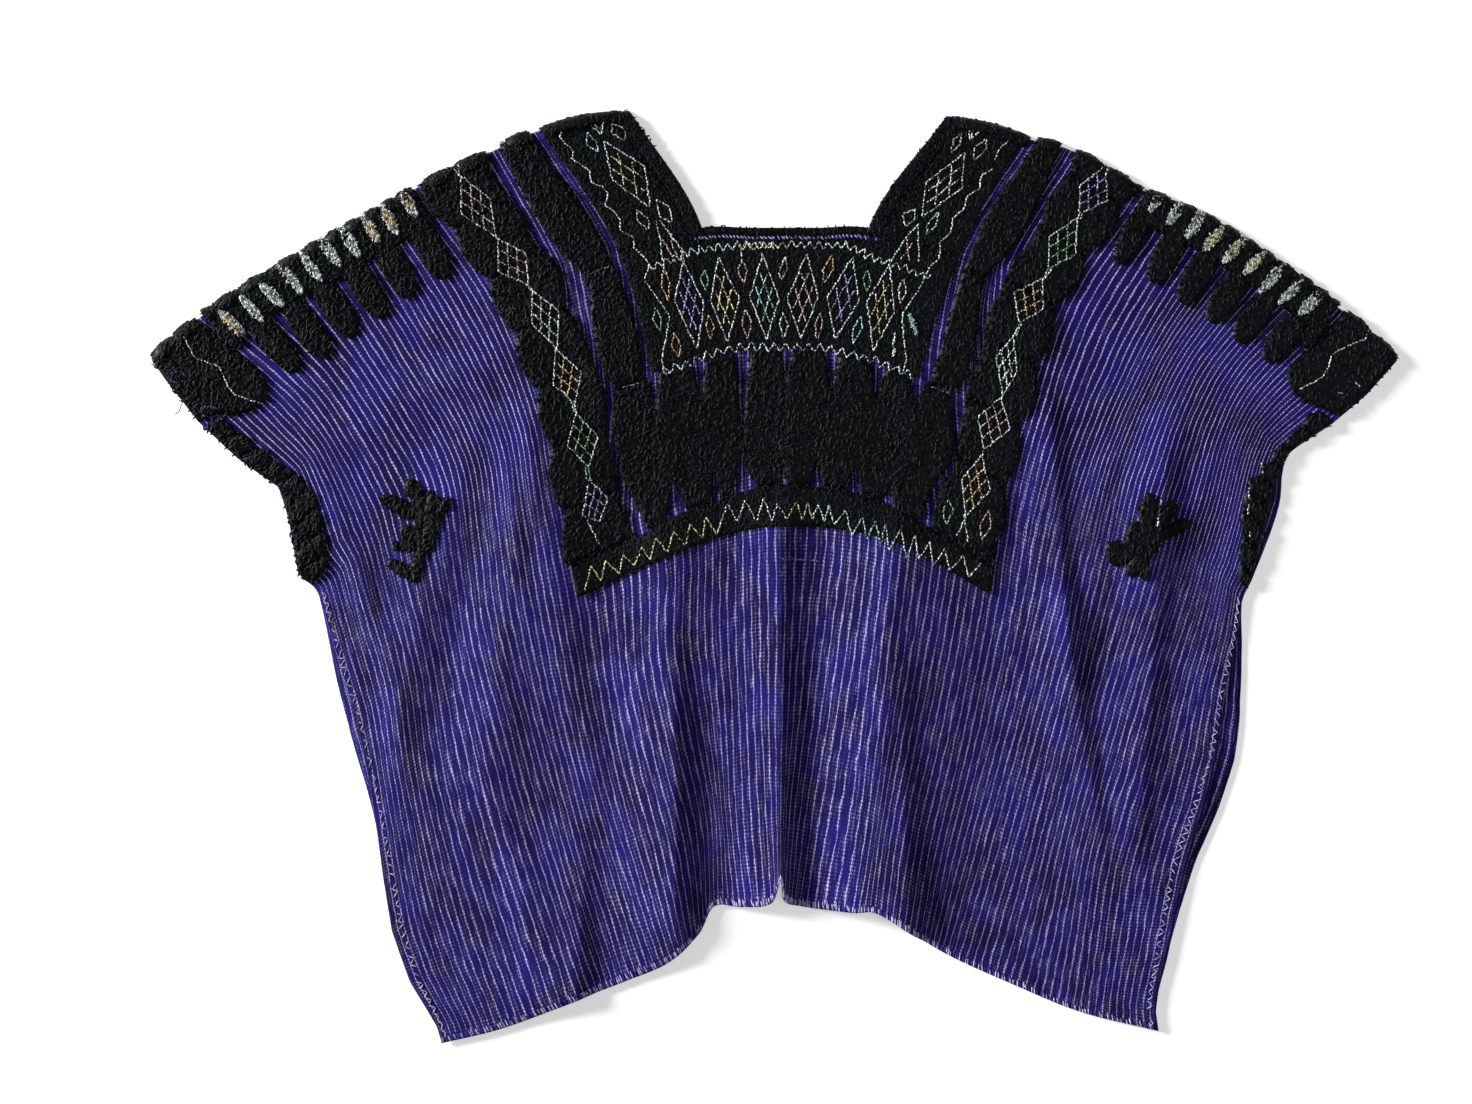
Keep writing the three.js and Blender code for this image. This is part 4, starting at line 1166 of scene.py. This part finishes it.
BAND_LINE = [
    ("gold", -140.5, -11.5, -135.5, 6.5, -128, -5, -125, 10.5, -114.5, 0.5, -111.5, 14.5, -103, 6.5,
      -97.5, 20.5, -91, 10.5, -87.5, 27, -79, 16, -74.5, 32, -66, 21, -63, 37.5, -53.5, 26.5, -51, 42,
      -43, 30),
    ("silver", -43, 30, -35, 52, -27.5, 39, -22, 55, -13.5, 39, -8, 56.5, -2, 39, 2, 52, 8, 40.5),
    ("gold", 8, 40.5, 15.5, 53.5, 20, 40.5),
    ("silver", 20, 40.5, 23.5, 53, 27.5, 40.5, 32, 52, 36.5, 39, 40, 51.5, 43.5, 36.5, 52, 47.5),
    ("mint", 52, 47.5, 57, 29, 64.5, 42.5, 67.5, 25.5, 74, 39, 77.5, 22, 81.5, 36, 83.5, 18),
    ("silver", 83.5, 18, 92, 33, 96, 12, 102, 29, 105, 10.5, 113, 24, 116, 7, 124.5, 19.5, 128, 3.5,
      138.5, 14.5, 141.5, -2.5, 151.5, 9),
]
ZIGZAG_TOP = [
    ("silver", -92.5, 225.5, -79, 231, -63, 237, -55.5, 240, -26, 242.5, 18.5, 243, 55.5, 242.5, 70.5,
      234, 92.5, 227, 114.5, 218),
    ("gold", -27.5, 242.5, 0, 242.5),
]
ZIGZAG_LOW = [
    ("silver", -81.5, 150, -74, 153, -63, 155, -52, 161.5, -40.5, 164.5, -22, 168.5, -3.5, 167.5, 18.5,
      167.5, 33.5, 167.5, 48, 164.5, 63, 161, 77.5, 157, 89, 151.5, 101.5, 147),
]
print("single lines:", len(LINES))


# %% Tools for the chart
drawn = {name: [] for name in foils}


def draw(colour, points):
    """Adds a line on the floor's plan in a foil colour."""
    drawn[colour].append(np.asarray(points, float).reshape(-1, 2))


def lattice(colour, corners, reach):
    """Two lines each way across a diamond; reach is the share of its width they span."""
    top, right, bottom, left = np.array(corners, float).reshape(4, 2)
    spot = lambda s, t: top * (1 - s) * (1 - t) + right * s * (1 - t) + bottom * s * t + left * (1 - s) * t
    for k in (1 / 3, 2 / 3):
        ends = 0.5 - reach / 2, 0.5 + reach / 2
        draw(colour, [spot(k, ends[0]), spot(k, ends[1])])
        draw(colour, [spot(ends[0], k), spot(ends[1], k)])


def outline(colour, corners):
    """Closed line round a diamond."""
    draw(colour, [*corners, *corners[:2]])


def zigzag(colour, points, pitch, height):
    """Zigzag along a line."""
    line = np.array(points, float).reshape(-1, 2)
    at = np.concatenate([[0], np.cumsum(np.linalg.norm(np.diff(line, axis=0), axis=1))])
    count = int(at[-1] / pitch * 2)
    along = np.linspace(0, at[-1], count)
    middle = np.stack([np.interp(along, at, line[:, 0]), np.interp(along, at, line[:, 1])], axis=1)
    way = np.gradient(middle, axis=0)
    way /= np.linalg.norm(way, axis=1, keepdims=True)
    aside = np.stack([-way[:, 1], way[:, 0]], axis=1)
    swing = np.where(np.arange(count) % 2 == 0, 1, -1) * height / 2
    draw(colour, middle + aside * (swing + random.normal(0, 0.4, count))[:, None])


# %% Draw the chart
for colour, *corners in LEFT_CHAIN + RIGHT_CHAIN:
    outline("silver", corners)
    lattice(colour, corners, 1.0)
for colour, *corners in PANEL_DIAMONDS + STRAP_DIAMONDS:
    outline("silver", corners)
    lattice(colour, corners, 0.82)
for colour, *corners in LOZENGES:
    outline(colour, corners)
for colour, *points in LINES + BAND_LINE:
    draw(colour, points)
for colour, *points in ZIGZAG_TOP:
    zigzag(colour, points, pitch=6.6, height=6.0)
for colour, *points in ZIGZAG_LOW:
    zigzag(colour, points, pitch=8.2, height=6.5)
print("thread lines:", sum(len(some) for some in drawn.values()))

# %% [markdown]
# ## The pile
#
# Loops are strewn one to each small square of floor, so they cover evenly
# without lining up, and each is turned and bent by chance. They overlap like
# curled wool and give the black its crawling highlights. Where a thread runs,
# the loops stand aside, so that the thread lies in a channel. Along the shoulder
# fold the pile rolls over in scallops, which `caps` adds with loops of their own.


# %% Strew the loops
STREW_STEP = 0.8
PILE_END = HEM / 1.7
# Squares of the floor: their number, and the square at the middle of the map
FLOOR_SQUARES, FLOOR_MIDDLE = (1000, 800), (500, 400)


def strewn(pitch, offset=4000, row=9000):
    """One place on the web in each square of the floor of a given pitch."""
    across = np.arange(-WEB_HALF, WEB_HALF, STREW_STEP)
    u, v = np.meshgrid(across, np.arange(TOP, PILE_END, STREW_STEP), indexing="ij")
    order = random.permutation(u.size)
    u, v = u.ravel()[order], v.ravel()[order]
    place = cloth.floor_place(u, v)
    square = np.floor(place / pitch).astype(int) + offset
    _, first = np.unique(square[:, 0] * row + square[:, 1], return_index=True)
    return u[first], v[first], place[first]


def threads_mask(reach):
    """Squares of the floor a millimetre wide that lie near a thread."""
    mask = np.zeros(FLOOR_SQUARES, bool)
    for line in [line for some in drawn.values() for line in some]:
        for a, b in zip(line[:-1], line[1:]):
            glints_and_tone = np.linspace(a, b, max(2, int(np.linalg.norm(b - a) * 2)))
            for dx, dy in ((0, 0), (reach, 0), (-reach, 0), (0, reach), (0, -reach)):
                cell = np.round(glints_and_tone + (FLOOR_MIDDLE[0] + dx, FLOOR_MIDDLE[1] + dy)).astype(int)
                mask[cell[:, 0], cell[:, 1]] = True
    return mask


near_thread = threads_mask(1.0)
lens_outlines = [oval_outline(row, 0.5) for row in LEFT_LENSES + RIGHT_LENSES]


def is_open(x, y):
    """Whether places lie in a lens opening of a shoulder row."""
    return np.logical_or.reduce([within(outline, x, y) for outline in lens_outlines])


print("squares kept free for threads:", int(near_thread.sum()))


# %% Loops over cushions
def nowhere(x, y):
    """Openings of a bed that has none."""
    return np.zeros(np.shape(x + y), bool)


def bed_height(some, place):
    """Height of the highest of some cushions at places on the floor."""
    return np.maximum.reduce([cushion.height(place[:, 0], place[:, 1]) for cushion in some])


def loops(some, strew, length, radius, bend):
    """Loops of yarn over cushions."""
    u, v, place = strew
    lift = bed_height(some, place)
    cell = np.round(place + FLOOR_MIDDLE).astype(int)
    kept = (lift > 0) & ~near_thread[cell[:, 0], cell[:, 1]]
    kept[kept] = ~is_open(place[kept, 0], place[kept, 1])
    u, v, lift = u[kept], v[kept], lift[kept]
    point, out, across_way, down_way = cloth.sample(u, v)
    count = len(u)
    turn = random.uniform(0, math.pi, count)[:, None]
    along = across_way * np.cos(turn) + down_way * np.sin(turn)
    return bits(
        point + out * (lift + random.uniform(-0.35, 0.7, count))[:, None], along, out,
        length * random.uniform(0.7, 1.3, count), radius * random.uniform(0.8, 1.2, count),
        bend * random.uniform(-1, 1, count),
    )


# %% Scallops over the shoulder fold
CAP_END = FOLD_OUTSIDE + 5.0
CAP_ROWS = 10
# Step across, least and added height of the roll, and the length over which it ends
CAP_STEP, CAP_LEAST, CAP_RISE, CAP_TAPER = 1.2, 0.2, 4.0, 4.0
CURL_STEP, CURLS_ABREAST = 1.5, 4
CURL_LENGTH, CURL_RADIUS, CURL_BEND = 4.2, 0.85, 1.8


def caps(u0, u1, first_scallop, pitch):
    """Rolled edge of pile over the shoulder fold, in scallops, with its loops."""
    across, down = spaced(u0, int((u1 - u0) / CAP_STEP), u1), np.linspace(FOLD_END, CAP_END, CAP_ROWS)
    V, U = np.meshgrid(down, across, indexing="ij")
    scallop = lambda u: np.clip(lobe(np.abs(u), first_scallop, pitch), 0, 1)
    swell = lambda u: CAP_LEAST + CAP_RISE * np.sqrt(scallop(u))
    ending = np.clip((CAP_END - V) / CAP_TAPER, 0, 1)
    cells = np.ones((CAP_ROWS - 1, len(across) - 1), bool)
    rolled = cloth.above(U, V, swell(U) * np.sqrt(ending))
    points, faces, _ = shell(rolled, cloth.above(U, V, 0.0), cells)
    u = np.repeat(np.arange(u0 + 0.5, u1 - 0.5, CURL_STEP), CURLS_ABREAST)
    u = u + random.uniform(-0.6, 0.6, len(u))
    v = random.uniform(FOLD_END, FOLD_OUTSIDE + 3.0, len(u))
    point, out, across_way, down_way = cloth.sample(u, v)
    turn = random.uniform(0, math.pi, len(u))[:, None]
    along = across_way * np.cos(turn) + down_way * np.sin(turn)
    curls = bits(
        point + out * (swell(u) * random.uniform(0.8, 1.0, len(u)))[:, None], along, out,
        CURL_LENGTH, CURL_RADIUS, random.uniform(-CURL_BEND, CURL_BEND, len(u)),
    )
    return join([(points, faces), curls])


# %% Build the pile
FLAT = {"neck_panel", "neck_edging", "chest_band", "strap_left", "strap_right"}
# Length, radius and bend of a loop in the low pile and in the high pile
LOW_LOOP, HIGH_LOOP = (3.4, 0.6, 0.8), (4.8, 0.85, 2.0)
WIDE_PITCH, CLOSE_PITCH = 2.6, 2.1
wide, close = strewn(WIDE_PITCH), strewn(CLOSE_PITCH)
# Rolled edges: start and end across the cloth, first scallop and pitch of the scallops
CAPS = {
    "strap": (49.0, 80.0, 48, 33),
    "inner_column": (84.5, 98.0, 84, 15),
    "outer_column": (109.0, 150.0, 109, 20.5),
    "shoulder_row": (157.0, 286.0, 157, 13.6),
    "sleeve_end": (293.0, 341.0, 293, 24.5),
}
pile_pieces = {}
for name, some in cushions.items():
    parts = [cushion.bed(is_open) for cushion in some]
    parts.append(loops(some, close, *LOW_LOOP) if name in FLAT else loops(some, wide, *HIGH_LOOP))
    kind, _, word = name.rpartition("_")
    if kind in CAPS:
        start, end, *scallops = CAPS[kind]
        side = 1 if word == "right" else -1
        parts.append(caps(*sorted((side * start, side * end)), *scallops))
    points, faces = join(parts)
    pile_pieces[name] = piece(f"{name}_pile", points, faces, black, name)
print("pile faces:", sum(len(p.data.polygons) for p in pile_pieces.values()))

# %% [markdown]
# ## The stitches of the chart
#
# Each line of the chart is cut into short stitches that lie on the pile, with
# small gaps between them. A lens opening has a low silver bed packed with silver
# stitches, and a few have a warm heart.


# %% Thread stitches
JITTER = 0.34


def pile_height(place):
    """Height of the pile under places on the floor, over every motif."""
    return bed_height([cushion for some in cushions.values() for cushion in some], place)


def stitches(some, step, radius, fill=0.66, lift=0.75):
    """Half tubes along lines on the floor's plan."""
    firsts, seconds = [], []
    for line in some:
        at = np.concatenate([[0], np.cumsum(np.linalg.norm(np.diff(line, axis=0), axis=1))])
        cuts = np.linspace(0, at[-1], max(2, int(round(at[-1] / step)) + 1))
        glints_and_tone = np.stack([np.interp(cuts, at, line[:, 0]), np.interp(cuts, at, line[:, 1])], axis=1)
        firsts.append(glints_and_tone[:-1])
        seconds.append(glints_and_tone[1:])
    first, second = np.concatenate(firsts), np.concatenate(seconds)
    first = first + random.normal(0, JITTER, first.shape)
    second = second + random.normal(0, JITTER, second.shape)
    middle = (first + second) / 2
    u, v = cloth.where(middle).T
    point, out, across_way, down_way = cloth.sample(u, v)
    point = point + out * (pile_height(middle) + lift)[:, None]
    flat = np.concatenate([second - first, np.zeros((len(first), 1))], axis=1)
    along = flat - out * (flat * out).sum(axis=1, keepdims=True)
    length = np.linalg.norm(along, axis=1) * fill * random.uniform(0.8, 1.15, len(along))
    return bits(point, along, out, length + 0.5, radius * random.uniform(0.75, 1.25, len(along)), 0.0)


# %% Lens openings
def packed(row, count, share=1.0, half_stitch=0.9):
    """Short lines strewn in a lens opening."""
    x0, y0, x1, y1, half = row
    t = random.uniform(-1, 1, count) * share
    s = random.uniform(-1, 1, count) * (1 - t * t) ** 0.6 * share
    length = math.hypot(x1 - x0, y1 - y0)
    way = np.array([x1 - x0, y1 - y0]) / length
    aside = np.array([-way[1], way[0]])
    middle = np.array([(x0 + x1) / 2, (y0 + y1) / 2]) + t[:, None] * way * length / 2
    middle = middle + s[:, None] * aside * half
    turn = random.uniform(0, math.pi, count)
    reach = np.stack([np.cos(turn), np.sin(turn)], axis=1) * half_stitch
    return [np.array([m - r, m + r]) for m, r in zip(middle, reach)]


MINT_LENS = (99, 192, 104.5, 176, 1.6)
# Colour of the heart of a lens opening, by its place in the row
WARM = [
    (LEFT_LENSES, {0: "orange", 7: "orange", 8: "orange", 9: "orange"}),
    (RIGHT_LENSES, {3: "gold", 4: "gold", 5: "gold"}),
]
hearts = {name: [] for name in foils}
for table, warm in WARM:
    for k, row in enumerate(table):
        hearts["silver"] += packed(row, 150)
        if k in warm:
            hearts[warm[k]] += packed(row, 60, 0.6)
hearts["mint"] += packed(MINT_LENS, 70)
print("stitches in the lens openings:", sum(len(some) for some in hearts.values()))

# %% Lay the threads
for colour, some in drawn.items():
    parts = [stitches(some, step=2.4, radius=0.62, fill=0.74)]
    if colour == "silver":
        parts += [leaf(row, rise=1.2).bed(nowhere) for row in LEFT_LENSES + RIGHT_LENSES]
    if hearts[colour]:
        lift = 1.4 if colour == "silver" else 1.7
        parts.append(stitches(hearts[colour], step=3.0, radius=0.42, fill=1.0, lift=lift))
    piece(f"thread_{colour}", *join(parts), foils[colour])
print("thread pieces:", len(drawn))

# %% [markdown]
# ## Seams and edges
#
# The hem is whipped over with pale and violet yarn, the neck has a row of pale
# stitches under its edging, and the side seams are closed with a pale zigzag. Two
# small lilac arcs lie on the end of the left sleeve, and a single loose end hangs
# at its arm opening.


# %% Edge stitches
def whip(us, vs, reach_u, reach_v, radius, lift=0.3):
    """Straight stitches centred on u and v that reach both ways."""
    count = len(us)
    reach_u = np.broadcast_to(reach_u, (count,)) * random.uniform(0.7, 1.3, count)
    reach_v = np.broadcast_to(reach_v, (count,)) * random.uniform(0.7, 1.3, count)
    a = cloth.above(us - reach_u, vs - reach_v, np.full(count, lift))
    b = cloth.above(us + reach_u, vs + reach_v, np.full(count, lift))
    out = cloth.sample(us, vs)[1]
    return bits((a + b) / 2, b - a, out, np.linalg.norm(b - a, axis=1), radius, 0.0)


# %% Hem, sides and neck
HEM_REACH, HEM_STEP, PALE_SHARE = 341, 2.1, 0.6
SEAM_START, SEAM_END, SEAM_STEP = 226.0, 590.0, 3.6
# Share of the zigzag that shows on the left and on the right side
SEAM_SHOWN = {-1: 0.62, 1: 0.8}
NECK_ROW_HALF, NECK_ROW_DOWN, NECK_ROW_STEP = 49, 106.8, 2.4
hem_u = np.arange(-HEM_REACH, HEM_REACH, HEM_STEP)
hem_u = hem_u + random.uniform(-0.7, 0.7, len(hem_u))
pale = random.uniform(0, 1, len(hem_u)) < PALE_SHARE
side_v = np.arange(SEAM_START, SEAM_END, SEAM_STEP)
hem_v = HEM - 2.4 + random.normal(0, 0.6, pale.sum())
edge_parts = [whip(hem_u[pale], hem_v, reach_u=0.5, reach_v=2.6, radius=0.55)]
for side in (-1, 1):
    lean = np.where(np.arange(len(side_v)) % 2 == 0, 1.8, -1.8)
    shown = random.uniform(0, 1, len(side_v)) < SEAM_SHOWN[side]
    inset = 6.0 + 3.0 * np.sin(side_v / 60)
    seam_u = side * (WEB_HALF - inset)[shown]
    edge_parts.append(whip(seam_u, side_v[shown], lean[shown], reach_v=1.6, radius=0.38))
neck_u = np.arange(-NECK_ROW_HALF, NECK_ROW_HALF, NECK_ROW_STEP)
neck_v = np.full(len(neck_u), NECK_ROW_DOWN)
edge_parts.append(whip(neck_u, neck_v, reach_u=0.8, reach_v=1.3, radius=0.35, lift=0.4))
piece("edge_stitches", *join(edge_parts), ends)
print("sets of edge stitches:", len(edge_parts))

# %% Violet hem stitches, arcs and the loose end
ARCS = ((-440.5, 145.5), (-416.5, 120))
ARC_HALF_WIDTH, ARC_HALF_HEIGHT = 6.5, 4.2
LOOSE_BITS = 8
violet = yarn("violet_yarn", (0.05, 0.03, 0.32), 0.9)
edging_arcs = []
for x, y in ARCS:
    angle = np.linspace(0.4, 5.6, 13)
    arc = [x + ARC_HALF_WIDTH * np.cos(angle), y + ARC_HALF_HEIGHT * np.sin(angle)]
    edging_arcs.append(np.stack(arc, axis=1))
arc_stitches = stitches(edging_arcs, step=2.2, radius=0.5, fill=0.7)
piece("edging_arcs", *arc_stitches, yarn("lilac_yarn", (0.1, 0.08, 0.3), 0.9))
violet_v = np.full((~pale).sum(), HEM - 2.8)
violet_stitches = whip(hem_u[~pale], violet_v, reach_u=0.5, reach_v=2.4, radius=0.5)
piece("hem_stitches", *violet_stitches, violet)
k = np.arange(LOOSE_BITS + 1)
loose = np.stack([
    np.linspace(-436, -443, len(k)), np.linspace(129, 117, len(k)) + 1.2 * np.sin(k), np.full(len(k), 3.0),
], axis=1)
way = np.diff(loose, axis=0)
loose_bits = bits(
    (loose[1:] + loose[:-1]) / 2 + SHIFT, way, np.tile([0, 0, 1.0], (LOOSE_BITS, 1)),
    np.linalg.norm(way, axis=1) * 1.1, 0.45, 0.3,
)
piece("loose_end", *loose_bits, black)
print("meshes so far:", len(bpy.data.meshes))

# %% [markdown]
# ## The sheets
#
# The names of the two cloth sheets are printed.

print("sheets:", front_cloth.name, back_cloth.name)

# %% [markdown]
# ## Floor, light and camera
#
# The blouse lies on a plain pale floor and is seen from straight above. One
# soft light stands at the upper left, low enough to draw the folds. A weak one
# hangs over the right side, and the room adds a little light all round.

# %% Floor
FLOOR_HALF, FLOOR_LEVEL = 4, -0.0005
floor_look = Look("floor", Roughness=0.9, Specular_IOR_Level=0.1)
floor_look.surface.inputs["Base Color"].default_value = (0.9, 0.9, 0.9, 1)
floor_look.surface.inputs["Emission Color"].default_value = (1, 1, 1, 1)
floor_look.surface.inputs["Emission Strength"].default_value = 0.45
floor_mesh = bpy.data.meshes.new("floor")
corners = [(x * FLOOR_HALF, y * FLOOR_HALF, FLOOR_LEVEL) for x, y in ((-1, -1), (1, -1), (1, 1), (-1, 1))]
floor_mesh.from_pydata(corners, [], [(0, 1, 2, 3)])
floor_mesh.materials.append(floor_look.material)
floor = bpy.data.objects.new("floor", floor_mesh)
bpy.context.scene.collection.objects.link(floor)
print("floor:", 2 * FLOOR_HALF, "m square")


# %% Lamps and room
def lamp(name, place, target, size, power):
    """Square soft light at a place, turned to a target."""
    data = bpy.data.lights.new(name, "AREA")
    data.size = size
    data.energy = power
    made = bpy.data.objects.new(name, data)
    made.location = place
    made.rotation_euler = (Vector(target) - Vector(place)).to_track_quat("-Z", "Y").to_euler()
    bpy.context.scene.collection.objects.link(made)
    return made


lamp("window", place=(-5.4, 1.9, 1.9), target=(0, 0, 0), size=1.5, power=740)
lamp("overhead", place=(1.1, -0.2, 2.2), target=(0.3, 0, 0), size=1.4, power=9)
world = bpy.data.worlds.new("room")
world.use_nodes = True
world.node_tree.nodes["Background"].inputs["Color"].default_value = (1, 1, 1, 1)
world.node_tree.nodes["Background"].inputs["Strength"].default_value = 0.1
bpy.context.scene.world = world
bpy.context.scene.view_settings.view_transform = "Standard"
print("lamps:", len(bpy.data.lights))

# %% Camera
camera_data = bpy.data.cameras.new("camera")
camera_data.lens = 50
camera_data.sensor_width = 36
camera = bpy.data.objects.new("camera", camera_data)
camera.location = (-0.02845, 0.01774, 1.512)
bpy.context.scene.collection.objects.link(camera)
bpy.context.scene.camera = camera
print("camera:", tuple(camera.location))
